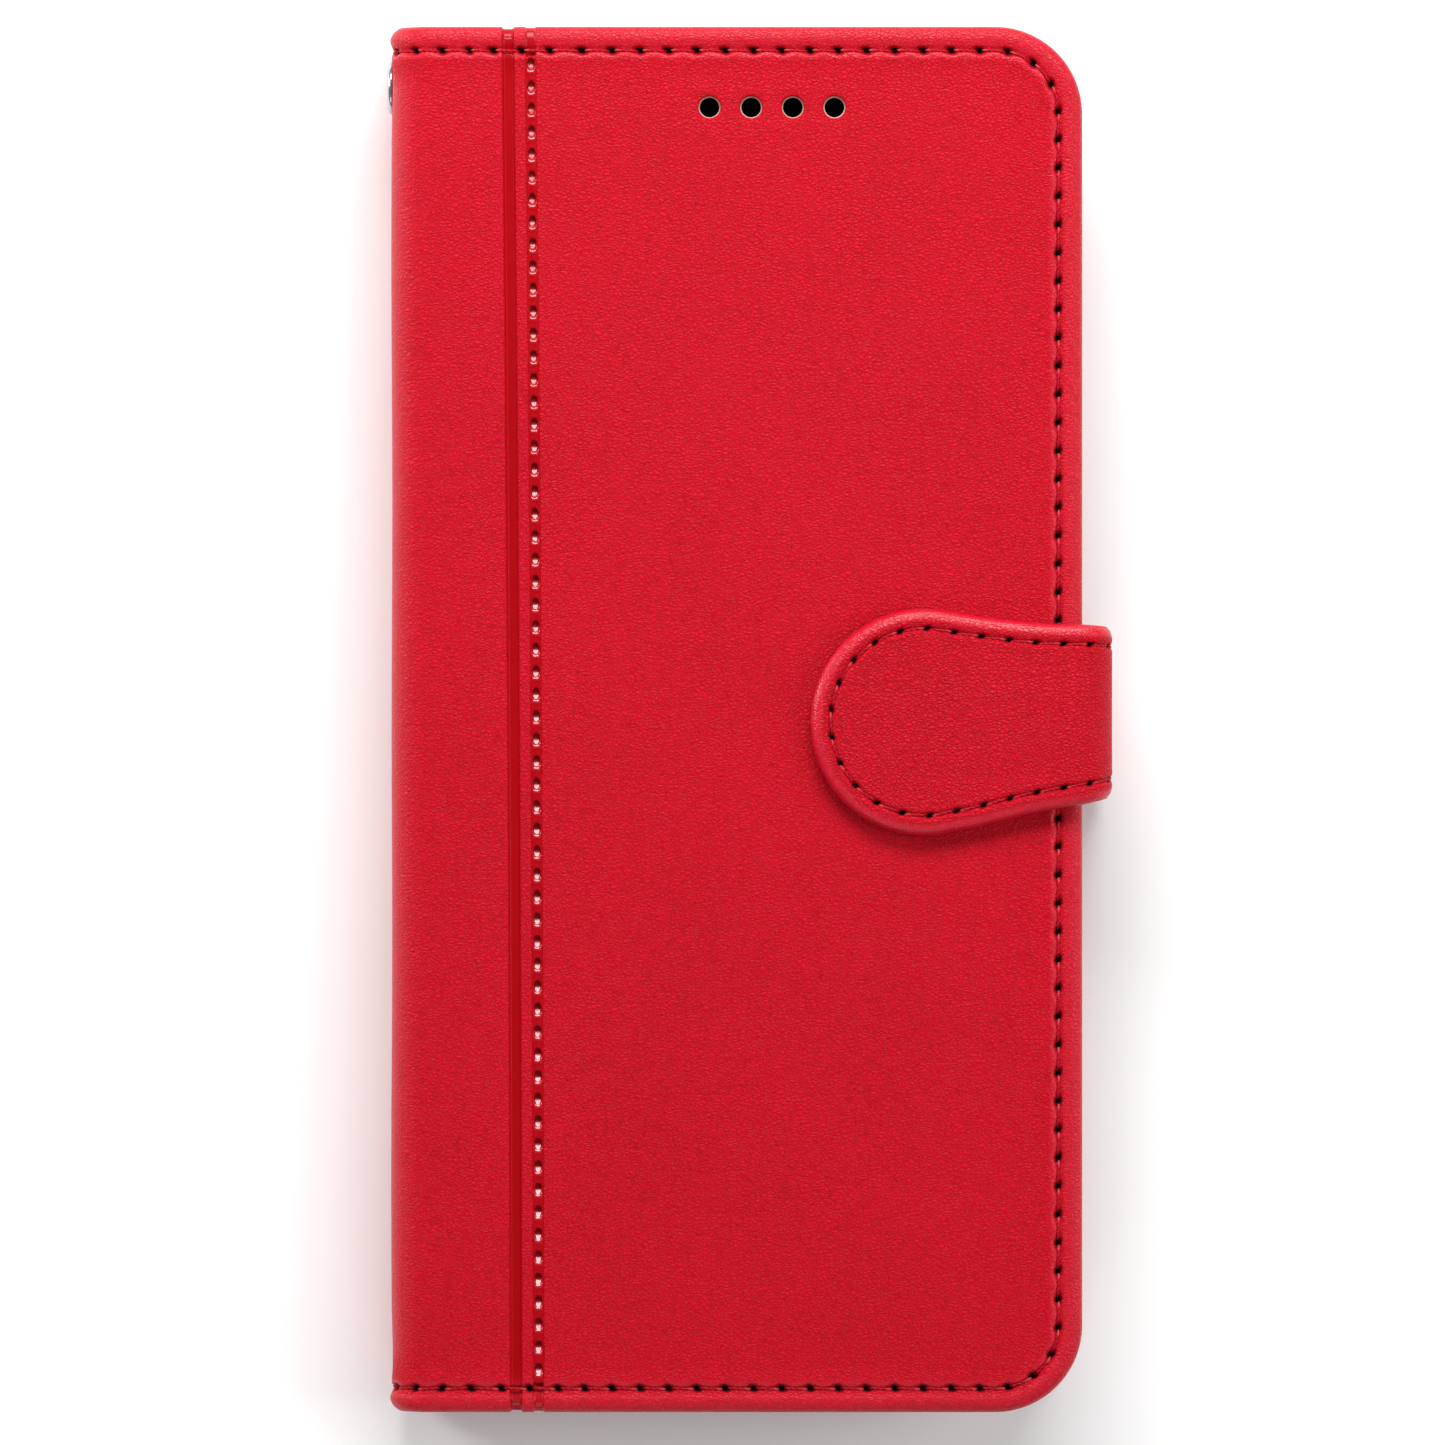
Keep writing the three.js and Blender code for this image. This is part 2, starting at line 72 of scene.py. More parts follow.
# ---- the dotted line's strip ----
CELL_PITCH, STRIP_END, STRIP_LOW = 2.7, 3.35, -0.66

# ---- earpiece holes and camera window ----
HOLE_X = [4.2 + (i - 1.5) * 5.0 for i in range(4)]
HOLE_Y, HOLE_R, HOLE_BOX, HOLE_SIDES = 73.5, 1.32, 2.3, 56
CAM = dict(x=27.0, y=54.0, w=14.0, h=34.0, r=4.5, margin=1.35)

# ---- tab ----
TIP = (22.4, -0.3, 13.6)
TAB_T, TAB_TOP_Z = 2.25, 20.6
TAB_ARC = dict(x=41.4, r=3.6)
TAB_LOW = dict(x=42.2, z=3.4, r=2.8)
TAB_STITCH_D, TAB_PITCH = 2.4, 3.3

# ---- eyelet ----
SPINE_FACE = 41.5
EYELET = (-SPINE_FACE, 76.5, CLOSED_T / 2)
EYELET_CUT_R, EYELET_CUT_DEPTH = 1.7, 6.0


def smooth(t):
    t = np.clip(t, 0, 1)
    return t * t * (3 - 2 * t)


def bell(distance, width):
    return np.exp(-((distance / width) ** 2))


def spline(points, per):
    """A smooth line through the points, with so many steps from each to the next."""
    p = np.array(points, float)
    q = np.vstack([2 * p[0] - p[1], p, 2 * p[-1] - p[-2]])
    t = (np.arange(per) / per)[:, None]
    a, b, c, d = (q[k : len(q) - 3 + k, None] for k in range(4))
    curve = 2 * b + (c - a) * t + (2 * a - 5 * b + 4 * c - d) * t**2 + (3 * b - a - 3 * c + d) * t**3
    return np.vstack([(0.5 * curve).reshape(-1, 2), p[-1]])


def lengths(points, jump=None):
    """Length along a line up to each point. The step after the point numbered jump counts as none."""
    steps = np.hypot(*np.diff(points, axis=0).T)
    if jump is not None:
        steps[jump] = 0
    return np.concatenate([[0], np.cumsum(steps)])


def from_nearest(t, centres):
    """Signed distance of each length from the nearest centre."""
    return t - centres[np.abs(t[:, None] - centres).argmin(1)]


def unit(vectors):
    return vectors / np.linalg.norm(vectors, axis=1)[:, None]


# ---- meshes and sheets ----


def in_scene(name, data):
    obj = bpy.data.objects.new(name, data)
    scene.collection.objects.link(obj)
    return obj


def mesh_object(name, points, faces, materials, mats=None, caps=(), **values):
    """A smooth-shaded mesh from points in mm. values are point attributes; caps are flat ends."""
    mesh = bpy.data.meshes.new(name)
    mesh.from_pydata((np.array(points) * MM).tolist(), [], faces)
    mesh.polygons.foreach_set("use_smooth", np.ones(len(faces), bool))
    if mats is not None:
        mesh.polygons.foreach_set("material_index", np.array(mats, np.int32))
    for key, value in values.items():
        value = np.array(value, np.float32)
        kind, field = ("FLOAT", "value") if value.ndim == 1 else ("FLOAT_VECTOR", "vector")
        mesh.attributes.new(key, kind, "POINT").data.foreach_set(field, value.ravel())
    bm = bmesh.new()
    bm.from_mesh(mesh)
    bm.faces.ensure_lookup_table()
    for i in caps:
        for e in bm.faces[i].edges:
            e.smooth = False
    bmesh.ops.recalc_face_normals(bm, faces=bm.faces)
    bm.to_mesh(mesh)
    bm.free()
    for m in materials:
        mesh.materials.append(m)
    return in_scene(name, mesh)


class Sheet:
    """Points with u, y, h, their painted shade and painted highlight, and faces with a material index."""

    def __init__(self):
        self.points, self.faces, self.mats, self.caps = [], [], [], []

    def add_many(self, uyh, painted_shade=0.0, pale=0.0):
        rows = np.empty((len(uyh), 5))
        rows[:, :3], rows[:, 3], rows[:, 4] = uyh, painted_shade, pale
        start = len(self.points)
        self.points.extend(rows.tolist())
        return list(range(start, len(self.points)))

    def add(self, u, y, h, pale=0.0):
        return self.add_many([(u, y, h)], 0.0, pale)[0]

    def face(self, ids, mat=0):
        clean = [v for i, v in enumerate(ids) if v != ids[i - 1]]
        if len(set(clean)) == len(clean) and len(clean) > 2:
            self.faces.append(clean)
            self.mats.append(mat)

    def cap(self, ids):
        self.caps.append(len(self.faces))
        self.face(ids)

    def strips(self, rows, lining=0, skip=None):
        """Faces between rows of ids: the first strips are lining, and a skipped column has none."""
        rows = np.array(rows).tolist()
        for i, (a, b) in enumerate(zip(rows, rows[1:])):
            for j in range(len(a) - 1):
                if j != skip:
                    self.face([a[j], a[j + 1], b[j + 1], b[j]], 1 if i < lining else 0)

    def ring(self, a, b, mat=0):
        """Faces between two closed loops with the same number of points."""
        for k in range(len(a)):
            self.face([a[k - 1], a[k], b[k], b[k - 1]], mat)

    def bridge(self, a, b, centre, mat):
        """Triangles between two closed loops round a centre."""

        def turned(ids):
            p = np.array([self.points[i][:2] for i in ids]) - centre
            angle = np.arctan2(p[:, 1], p[:, 0])
            order = np.argsort(angle)
            return [ids[k] for k in order], [*angle[order], math.inf]

        a, angle_a = turned(a)
        b, angle_b = turned(b)
        i = j = 0
        while i < len(a) or j < len(b):
            if angle_a[i] <= angle_b[j]:
                self.face([a[i - 1], a[i], b[j - 1]], mat)
                i += 1
            else:
                self.face([a[i - 1], b[j], b[j - 1]], mat)
                j += 1

    def patch(self, grid, columns, rows, mat, beside, skip=()):
        """Faces over a grid of ids. beside lists the finer points between two grid points, step by
        step along the top, right and low sides; they go into the face next to them."""
        top, right, low = beside
        for j in range(rows - 1):
            for i in range(columns - 1):
                if (i, j) not in skip:
                    poly = [grid[i, j]] + (top[i] if j == 0 else []) + [grid[i + 1, j]]
                    poly += (right[j] if i == columns - 2 else []) + [grid[i + 1, j + 1]]
                    poly += (low[i] if j == rows - 2 else []) + [grid[i, j + 1]]
                    self.face(poly, mat)

    def build(self, name, wrap, materials, plain_at=None):
        """Wraps the sheet into a closed mesh object. plain_at says where the grain is pressed flat."""
        data = np.array(self.points)
        uyh = data[:, :3]
        plain = np.zeros(len(data)) if plain_at is None else plain_at(*uyh.T)
        looks = dict(sheet=uyh * MM, painted_shade=data[:, 3], plain=plain, pale=data[:, 4])
        return mesh_object(name, wrap(*uyh.T), self.faces, materials, self.mats, self.caps, **looks)


def front_wrap(u, y, h):
    a = np.clip((SHOULDER_X - u) / SHOULDER_R, 0, math.pi / 2)
    r = SHOULDER_R + h
    down = np.clip(SHOULDER_U - u, 0, None)
    flat = u >= SHOULDER_X
    x = np.where(flat, u, SHOULDER_X - r * np.sin(a))
    z = np.where(flat, CLOSED_T + h, CLOSED_T - SHOULDER_R + r * np.cos(a) - down)
    return np.stack([x, y, z], 1)


def back_wrap(u, y, h):
    p = front_wrap(u, y, h)
    p[:, 2] = CLOSED_T - p[:, 2]
    return p


# Edge of a cover from the lining, round the turned edge, over the padded roll and the stitch
# channel to the open leather: (distance in from the silhouette, height).
EDGE = spline(
    [
        (BAND, -COVER_T), (4.2, -3.0), (3.3, -2.98), (2.9, -2.88), (2.5, -2.98), (1.6, -3.0),
        (1.25, -2.96), (1.12, -2.72), (0.9, -2.66), (0.5, -2.42), (0.2, -2.0), (0.03, -1.5),
        (0.05, -1.0), (0.24, -0.5), (0.6, -0.16), (1.1, 0.03), (1.65, 0.08), (2.1, 0.0),
        (2.42, -0.1), (2.7, -0.22), (2.95, -0.28), (3.15, -0.22), (3.32, -0.02), (3.58, 0.1),
        (4.05, 0.09), (4.75, 0.03), (BAND, 0.0),
    ],
    2,
)
LINING_ROWS, FACE_ROW = 13, 21


def crease_shift(y):
    """The crease and the dotted line lean a little and bow."""
    t = y / HALF_H
    return -0.006 * y - 0.2 * t * t


def unbent(u, y):
    return u


def front_warp(u, y):
    return u + crease_shift(y) * smooth((u + 33.0) / 3.5) * smooth((-16.5 - u) / 5.0)


def groove(u, y):
    """Depth of the crease and of the dotted line's channel, and how smooth the leather is."""
    g, s = np.abs(u - CREASE_X), np.abs(u - SEAM_X)
    deep = smooth((0.8 - g) / 0.28)
    channel = smooth((0.66 - s) / 0.16)
    below = np.where(np.abs(y) < HALF_H - STRIP_END + 0.05, 0.74, 0.26)
    return -0.5 * deep + 0.07 * bell(g - 1.0, 0.28) - below * channel, np.maximum(deep, channel)


def plain_front(u, y, h):
    return groove(u - crease_shift(y), y)[1] * (h > -1.6)


def waviness(u, y):
    """Slow unevenness of padded leather, fading out at the stitched edge."""
    inset = smooth(np.minimum(np.minimum(HALF_H - np.abs(y), EDGE_X - u) - BAND, 8) / 8)
    a = np.sin(u / 8.3 + 1.1) * np.cos(y / 12.1 + 0.4) + 0.6 * np.sin(y / 21.0 + u / 17.0)
    return 0.035 * a * inset + 0.12 * inset


def thickness(u, h):
    """Thins the edge where the sheet is the spine."""
    t = COVER_T + (SPINE_T - COVER_T) * smooth((SHOULDER_X - 1.5 - u) / 4.0)
    return np.where(h < -0.5, -0.5 + (h + 0.5) * (t - 0.5) / (COVER_T - 0.5), h)


def needle(along, across, scale=1.0):
    """A needle hole: (height, painted shade darkening the hole) at a distance along and across the stitch
    line.
    """
    c, s = math.cos(0.3), math.sin(0.3)
    a, b = along * c + across * s, -along * s + across * c
    e = np.sqrt((a / (0.68 * scale)) ** 2 + (b / (0.43 * scale)) ** 2)
    return smooth((e - 0.35) / 0.85) - 1, 1 - smooth((e - 0.6) / 0.45)


def columns(samples, coarse, place):
    """Columns across a stitched edge: centre x, y, outward x, y, radius, and 1 if it is coarse."""
    return [(*place(s), R_EDGE, np.min(np.abs(coarse - s)) < 1e-6) for s in samples]


def line_columns(us, coarse, side):
    return columns(us, coarse, lambda u: (u, side * TOP_Y, 0, side))


def arc_columns(angles, coarse, side):
    return columns(angles, coarse, lambda a: (STRAIGHT, side * TOP_Y, math.cos(a), side * math.sin(a)))


def merged(fine, coarse, gap=0.09):
    """Fine samples with the coarse ones put in, dropping fine ones that come too close."""
    keep = [f for f in fine if np.min(np.abs(coarse - f)) > gap]
    return np.sort(np.concatenate([keep, coarse]))


def thinned(values, fixed, gap=0.3):
    """Sorted values, without the ones less than gap past the last one kept, fixed ones apart."""
    keep = [values[0]]
    for v in values[1:]:
        if v - keep[-1] > gap or np.min(np.abs(fixed - v)) < 1e-3:
            keep.append(v)
    return np.array(keep)


def between(row, marks):
    """The ids of a row that lie between one of the marks and the next, step by step."""
    return [row[a + 1 : b] for a, b in zip(marks, marks[1:])]


def cover_holes(length):
    n = round((length - 2 * END_GAP) / STITCH_PITCH)
    return END_GAP + (length - 2 * END_GAP) * np.arange(n + 1) / n


def stitched_edge(sheet, cols, holes_at, is_front=False):
    """The band round a panel's edge. Returns ids [row, column] and its stitch line."""
    cx, cy, nx, ny, r = cols.T
    t = lengths(np.stack([cx + nx * (r - STITCH_D), cy + ny * (r - STITCH_D)], 1))
    centres = holes_at(t[-1])
    along = from_nearest(t, centres)
    phase = np.cos(2 * math.pi * np.clip(along / STITCH_PITCH, -0.5, 0.5))
    bend = front_warp if is_front else unbent
    ids = []
    for i, (d, h) in enumerate(EDGE):
        inset, on_face, hole_shade = np.full(len(cx), d), i > FACE_ROW, 0.0
        u, y = cx + nx * (r - d), cy + ny * (r - d)
        height = h + 0.22 * smooth((SHOULDER_X - 1 - u) / 5) * bell(d - 1.5, 0.9) * (h > -1.2)
        if on_face:
            height = height - 0.1 * phase * bell(d - 2.95, 0.42)
            inset = inset + 0.17 * phase * bell(d - 3.45, 0.3) * (d < BAND - 0.1)
        if on_face and 1.9 < d < 4.0:
            # The needle's second value is painted shade that darkens the hole.
            pit, hole_shade = needle(along, d - STITCH_D)
            height = height + pit * 0.8
        if is_front:
            g = groove(u, y)[0]
            height = height + g * smooth((h + 1.1) / 0.6) * (i > LINING_ROWS)
            inset = inset + 0.32 * np.clip(-g / 0.6, 0, 1) * (d < 1.2) * (i > LINING_ROWS - 3)
        if on_face and d > 1.0:
            height = np.maximum(height, HOLE_FLOOR)
        u, y = cx + nx * (r - inset), cy + ny * (r - inset)
        # Painted highlight: the padded roll, the lip inside the stitch line and the turned edge are
        # lightened.
        roll = smooth((2.5 - d) / 0.5) * 0.5 + 0.75 * bell(d - 3.5, 0.3)
        pale = roll if on_face else 0.4 * (i >= LINING_ROWS)
        ids.append(sheet.add_many(np.stack([bend(u, y), y, thickness(u, height)], 1), hole_shade, pale))
    sheet.strips(ids, LINING_ROWS)
    return np.array(ids), (cols, t, centres)


def end_cap(sheet, top, outer, low, inner):
    """Closes a sheet's open end: two edge profiles, and the outer and inner faces between them."""
    sheet.cap([*top, *outer[1:-1], *low[::-1], *inner[1:-1][::-1]])


# Rings from the leather into an opening: (growth of the opening, height), from outside and inside.
HOLE_RINGS = (
    [(0.3, 0.0), (0.1, -0.05), (0.0, -0.22), (0.0, -0.85), (-0.14, -0.9)],
    [(0.25, -3.0), (0.05, -2.92), (-0.02, -2.4)],
)
CAM_RINGS = (
    [(1.1, 0.02), (0.7, 0.06), (0.35, 0.0), (0.1, -0.25), (0.0, -0.7), (0.0, -1.5)],
    [(1.0, -3.0), (0.75, -2.98), (0.7, -2.75), (0.3, -2.68), (0.06, -2.4)],
)
BOARD_RING = 3


def rounded_box(half_w, half_h, r):
    """Points round a box with round corners."""
    points = []
    for q, (sx, sy) in enumerate(((1, 1), (-1, 1), (-1, -1), (1, -1))):
        for a in (q + np.arange(9) / 8) * math.pi / 2:
            points.append((sx * (half_w - r) + r * math.cos(a), sy * (half_h - r) + r * math.sin(a)))
        n = 16 if q % 2 else 8
        for f in 1 - 2 * np.arange(1, n) / n:
            upright, level = (sx * half_w, sy * (half_h - r) * f), (sx * (half_w - r) * f, sy * half_h)
            points.append(upright if q % 2 else level)
    return np.array(points)


def window_rings(sheet, is_front, x, y, outer):
    """Rings of points from the leather's face down into a hole or window."""
    rings = []
    base = waviness(x, y) if is_front and outer else 0
    for grow, h in (HOLE_RINGS if is_front else CAM_RINGS)[0 if outer else 1]:
        if is_front:
            a = np.arange(HOLE_SIDES) / HOLE_SIDES * 2 * math.pi + 0.013
            p = (HOLE_R + grow) * np.stack([np.cos(a), np.sin(a)], 1)
        else:
            p = rounded_box(CAM["w"] / 2 + grow, CAM["h"] / 2 + grow, CAM["r"] + grow)
        rings.append(sheet.add_many(np.column_stack([p + (x, y), np.full(len(p), h + base)])))
    return rings


def inside(w, x, y, margin=0.0):
    return w[0] + margin < x < w[1] - margin and w[2] + margin < y < w[3] - margin


def cover(name, wrap, materials, is_front):
    """One cover from the join beside the spine to the opening edge, and its stitch line."""
    sheet = Sheet()
    bend = front_warp if is_front else unbent
    if is_front:
        windows = [(x - HOLE_BOX, x + HOLE_BOX, HOLE_Y - HOLE_BOX, HOLE_Y + HOLE_BOX) for x in HOLE_X]
        dense = np.arange(CREASE_X - 1.5, SEAM_X + 1.25, 0.14)
    else:
        w, h = CAM["w"] / 2 + CAM["margin"], CAM["h"] / 2 + CAM["margin"]
        windows = [(CAM["x"] - w, CAM["x"] + w, CAM["y"] - h, CAM["y"] + h)]
        dense = [-26.0, 33.2]
    window_x = np.concatenate([np.linspace(w[0], w[1], 6 if is_front else 9) for w in windows])
    window_y = np.linspace(*windows[0][2:], 6 if is_front else 17)
    regular = [*np.arange(JOIN_U, STRAIGHT, 2.0), STRAIGHT, EDGE_X - BAND]
    xs = np.unique(np.round(np.concatenate([regular, window_x, dense]), 4))
    xs = xs[np.append(True, np.diff(xs) > 0.05)]

    beyond = window_y[np.abs(window_y) > TOP_Y + 1e-6]
    arc = np.append([math.pi / 2, 1.2, 0.9, 0.6, 0.3, 0.0], np.arcsin((np.abs(beyond) - TOP_Y) / INNER_R))
    arc = np.unique(np.round(arc, 6))
    within = window_y[np.abs(window_y) <= TOP_Y + 1e-6]
    side = np.unique(np.round(np.concatenate([np.arange(-72, 72.1, 2.0), [-TOP_Y, TOP_Y], within]), 4))
    side = thinned(side, np.append(window_y, [-TOP_Y, TOP_Y]))

    body = xs[xs <= STRAIGHT + 1e-6]
    fine_u = merged(np.arange(JOIN_U, STRAIGHT, FINE), body)
    fine_arc = merged(np.linspace(0, math.pi / 2, 44), arc, 0.012)
    fine_side = merged(np.arange(-TOP_Y, TOP_Y, FINE), side)
    cols = line_columns(fine_u, body, 1) + arc_columns(fine_arc[::-1][1:], arc, 1)
    cols += columns(fine_side[::-1][1:], side, lambda y: (STRAIGHT, y, 1, 0))
    cols += arc_columns(fine_arc[1:], arc, -1)
    n_top, n_right = len(fine_u), len(cols)
    cols = np.array(cols + line_columns(fine_u[::-1][1:], body, -1), float)
    right = [k for k in range(n_top - 1, n_right) if cols[k, 5]]
    cols = cols[:, :5]
    ids, line = stitched_edge(sheet, cols, cover_holes, is_front)

    right_u, ys = (cols[right, :2] + cols[right, 2:4] * INNER_R).T
    top_at = np.abs(fine_u[:, None] - xs).argmin(0)
    low_at = n_right + n_top - 2 - top_at
    cells = [(i, j) for i in range(len(xs) - 1) for j in range(len(ys) - 1)]
    middles = {(i, j): ((xs[i] + xs[i + 1]) / 2, (ys[j] + ys[j + 1]) / 2) for i, j in cells}
    openings = {cell for cell, at in middles.items() if any(inside(w, *at) for w in windows)}
    faces, innermost = {}, {}
    for outer in (True, False):
        row, mat = ids[-1 if outer else 0].tolist(), 0 if outer else 1
        grid = {}
        for j, y in enumerate(ys):
            for i, x in enumerate(xs):
                u = x if x <= STRAIGHT else STRAIGHT + (x - STRAIGHT) * (right_u[j] - STRAIGHT) / INNER_R
                if j in (0, len(ys) - 1):
                    grid[i, j] = row[top_at[i] if j == 0 else low_at[i]]
                elif i == len(xs) - 1:
                    grid[i, j] = row[right[j]]
                elif not any(inside(w, u, y, 1e-4) for w in windows):
                    h = waviness(u, y) + is_front * groove(u, y)[0] if outer else -COVER_T
                    grid[i, j] = sheet.add(bend(u, y), y, h)
        beside = between(row, top_at), between(row, right), between(row, low_at[::-1])[::-1]
        sheet.patch(grid, len(xs), len(ys), mat, beside, openings)
        faces[outer] = [grid[0, j] for j in range(len(ys))]
        for n, w in enumerate(windows):
            x, y = (w[0] + w[1]) / 2, (w[2] + w[3]) / 2
            near = [(v, xs[i], ys[j]) for (i, j), v in grid.items() if inside(w, xs[i], ys[j], -2e-3)]
            rings = window_rings(sheet, is_front, x, y, outer)
            sheet.bridge([v for v, *at in near if not inside(w, *at, 2e-3)], rings[0], (x, y), mat)
            for k in range(len(rings) - 1):
                sheet.ring(rings[k], rings[k + 1], 2 if is_front and outer and k >= BOARD_RING else mat)
            if outer:
                innermost[n] = rings[-1]
            else:
                sheet.ring(innermost[n], rings[-1], 2 if is_front else 0)
    end_cap(sheet, ids[:, 0], faces[True], ids[:, -1], faces[False])
    return sheet.build(name, wrap, materials, plain_front if is_front else None), line


# The stitch step is set by the cover's own stitch line, so that both sheets meet in step.
COVER_LINE = 2 * (STRAIGHT - JOIN_U) + math.pi * (R_EDGE - STITCH_D) + 2 * TOP_Y
STITCH_STEP = (COVER_LINE - 2 * END_GAP) / round((COVER_LINE - 2 * END_GAP) / STITCH_PITCH)


def spine_holes(length):
    c = length + END_GAP - STITCH_STEP * np.arange(1, 8)
    return np.append(0.0, np.sort(c[c > 1.5]))


def fold_sheet(name, wrap, materials):
    """The leather from the middle of the spine over the shoulder to the join with a cover."""
    sheet = Sheet()
    us = np.round(np.append(np.arange(SPINE_MID_U, JOIN_U, 1.0), JOIN_U), 4)
    ys = np.linspace(HALF_H - BAND, -HALF_H + BAND, 79)
    fine = merged(np.arange(SPINE_MID_U, JOIN_U, FINE), us)
    at = np.abs(fine[:, None] - us).argmin(0)
    bands, lines = [], []
    for side in (1, -1):
        cols = np.array(line_columns(np.append(fine, JOIN_U + PAST_JOIN), us, side), float)[:, :5]
        ids, (_, t, centres) = stitched_edge(sheet, cols[:-1], spine_holes)
        bands.append(ids)
        lines.append((cols, np.append(t, t[-1] + PAST_JOIN), np.append(centres, t[-1] + END_GAP)))
    ends = {}
    for outer in (True, False):
        top, low = (band[-1 if outer else 0].tolist() for band in bands)
        grid = {}
        for i, u in enumerate(us):
            for j, y in enumerate(ys):
                if j in (0, len(ys) - 1):
                    grid[i, j] = (top if j == 0 else low)[at[i]]
                elif outer:
                    fade = smooth((JOIN_U - u) / 3) * smooth((u - SPINE_MID_U) / 3)
                    h = waviness(JOIN_U, y) + 0.05 * math.sin(y / 9.0 + u / 4.0) * fade
                    # Painted sheen: a paler band along the rounded shoulder into the spine.
                    grid[i, j] = sheet.add(u, y, h, 0.55 * bell(u - SHOULDER_U - 1.6, 2.6))
                else:
                    grid[i, j] = sheet.add(u, y, thickness(u, -COVER_T))
        beside = between(top, at), [[]] * len(ys), [part[::-1] for part in between(low, at)]
        sheet.patch(grid, len(us), len(ys), 0 if outer else 1, beside)
        ends[outer] = [[grid[i, j] for j in range(len(ys))] for i in (0, len(us) - 1)]
    for n, i in enumerate((0, -1)):
        end_cap(sheet, bands[0][:, i], ends[True][n], bands[1][:, i], ends[False][n])
    return sheet.build(name, wrap, materials), lines


def at_length(array, t, d, s):
    """Points at lengths s along a stitch line, at inset d."""
    cx, cy, nx, ny, r = array.T
    return np.array([np.interp(s, t, cx + nx * (r - d)), np.interp(s, t, cy + ny * (r - d))])


def thread_mesh(name, seams, wrap):
    """Twisted thread: one short piece per stitch, from needle hole to needle hole. A seam is a stitch
    line, how far in and how high its thread lies, and how its sheet is bent."""
    points, faces, flat, tip_highlight = [], [], [], []
    f = np.linspace(0, 1, THREAD_STEPS + 1)
    angle = 2 * math.pi * np.arange(THREAD_SIDES) / THREAD_SIDES
    lobes = 1 + 0.16 * np.cos(3 * angle + 9.0 * math.pi * f[:, None])
    radius = (THREAD_R * lobes * (0.75 + 0.25 * np.sin(math.pi * f))[:, None])[..., None]
    dip = np.maximum(0, np.abs(f - 0.5) * 2 - 0.62) / 0.38
    rise = 0.05 * np.sin(math.pi * f) - 0.45 * dip**1.6
    for array, t, centres, inset, height, warp in seams:
        for a, b in zip(centres, centres[1:]):
            s = np.linspace(a + 0.36, b - 0.3, THREAD_STEPS + 1)
            on_line = at_length(array, t, inset, s)
            inward = (at_length(array, t, inset + 0.25, s) - on_line) / 0.25
            u, y = on_line + inward * 0.16 * (f - 0.5)
            u, h = warp(u, y), height + rise
            c = wrap(u, y, h)
            tangent = unit(np.gradient(c, axis=0))
            side = unit(np.cross(tangent, unit(wrap(u, y, h + 0.1) - c)))
            up = np.cross(side, tangent) * 0.85
            round_it = side[:, None] * np.cos(angle)[:, None] + up[:, None] * np.sin(angle)[:, None]
            base = len(points)
            points.extend((c[:, None] + radius * round_it).reshape(-1, 3))
            flat.extend(np.stack(np.broadcast_arrays(s[:, None], angle * 0.2, 0.0), 2).reshape(-1, 3))
            # Painted highlight at the start of each stitch, beside its hole.
            tip_highlight.extend(np.repeat(bell(f, 0.16), THREAD_SIDES))
            rows = base + np.arange((THREAD_STEPS + 1) * THREAD_SIDES).reshape(-1, THREAD_SIDES)
            for r0, r1 in zip(rows, rows[1:]):
                faces.extend(np.stack([r0, np.roll(r0, -1), np.roll(r1, -1), r1], 1).tolist())
            faces += [rows[0, ::-1].tolist(), rows[-1].tolist()]
    return mesh_object(name, points, faces, [THREAD], sheet=np.array(flat) * MM, pale=tip_highlight)


# ---- materials ----


class Shader:
    """A material's node tree. A value put in a socket is a number, a colour or another socket."""

    def __init__(self, name):
        self.material = bpy.data.materials.new(name)
        self.material.use_nodes = True
        self.tree = self.material.node_tree
        self.bsdf = self.tree.nodes["Principled BSDF"]

    def put(self, socket, value):
        if isinstance(value, bpy.types.NodeSocket):
            self.tree.links.new(value, socket)
        else:
            socket.default_value = (*value, 1) if socket.type == "RGBA" else value

    def node(self, kind, inputs, **settings):
        """Adds a node and returns its outputs."""
        n = self.tree.nodes.new("ShaderNode" + kind)
        for key, value in settings.items():
            setattr(n, key, value)
        for key, value in inputs.items():
            self.put(n.inputs[key], value)
        return n.outputs

    def maths(self, operation, a, b):
        return self.node("Math", {0: a, 1: b}, operation=operation)[0]

    def times(self, a, b):
        return self.maths("MULTIPLY", a, b)

    def add(self, first, *others):
        for other in others:
            first = self.maths("ADD", first, other)
        return first

    def less(self, a, share):
        """1 minus a share of a."""
        return self.maths("SUBTRACT", 1.0, self.times(a, share))

    def mixed(self, factor, a, b):
        return self.node("Mix", {0: factor, 6: a, 7: b}, data_type="RGBA")[2]

    def attribute(self, name, kind="Fac"):
        return self.node("Attribute", {}, attribute_name=name)[kind]

    def noise(self, vector, scale, detail=3.0, rough=0.5, output=0):
        inputs = {"Scale": scale, "Detail": detail, "Roughness": rough, "Vector": vector}
        return self.node("TexNoise", inputs)[output]

    def ramp(self, source, stops):
        n = self.tree.nodes.new("ShaderNodeValToRGB")
        while len(n.color_ramp.elements) < len(stops):
            n.color_ramp.elements.new(0.5)
        for element, (position, colour) in zip(n.color_ramp.elements, stops):
            element.position = position
            element.color = (*colour, 1)
        self.put(n.inputs[0], source)
        return n.outputs[0]

    def finish(self, height, relief, strength=1.0, **inputs):
        """Puts the bump and the shader's own inputs in place and returns the material."""
        bump = self.node("Bump", {"Strength": strength, "Distance": relief, "Height": height})[0]
        for key, value in {"Normal": bump, **inputs}.items():
            self.put(self.bsdf.inputs[key.replace("_", " ")], value)
        return self.material


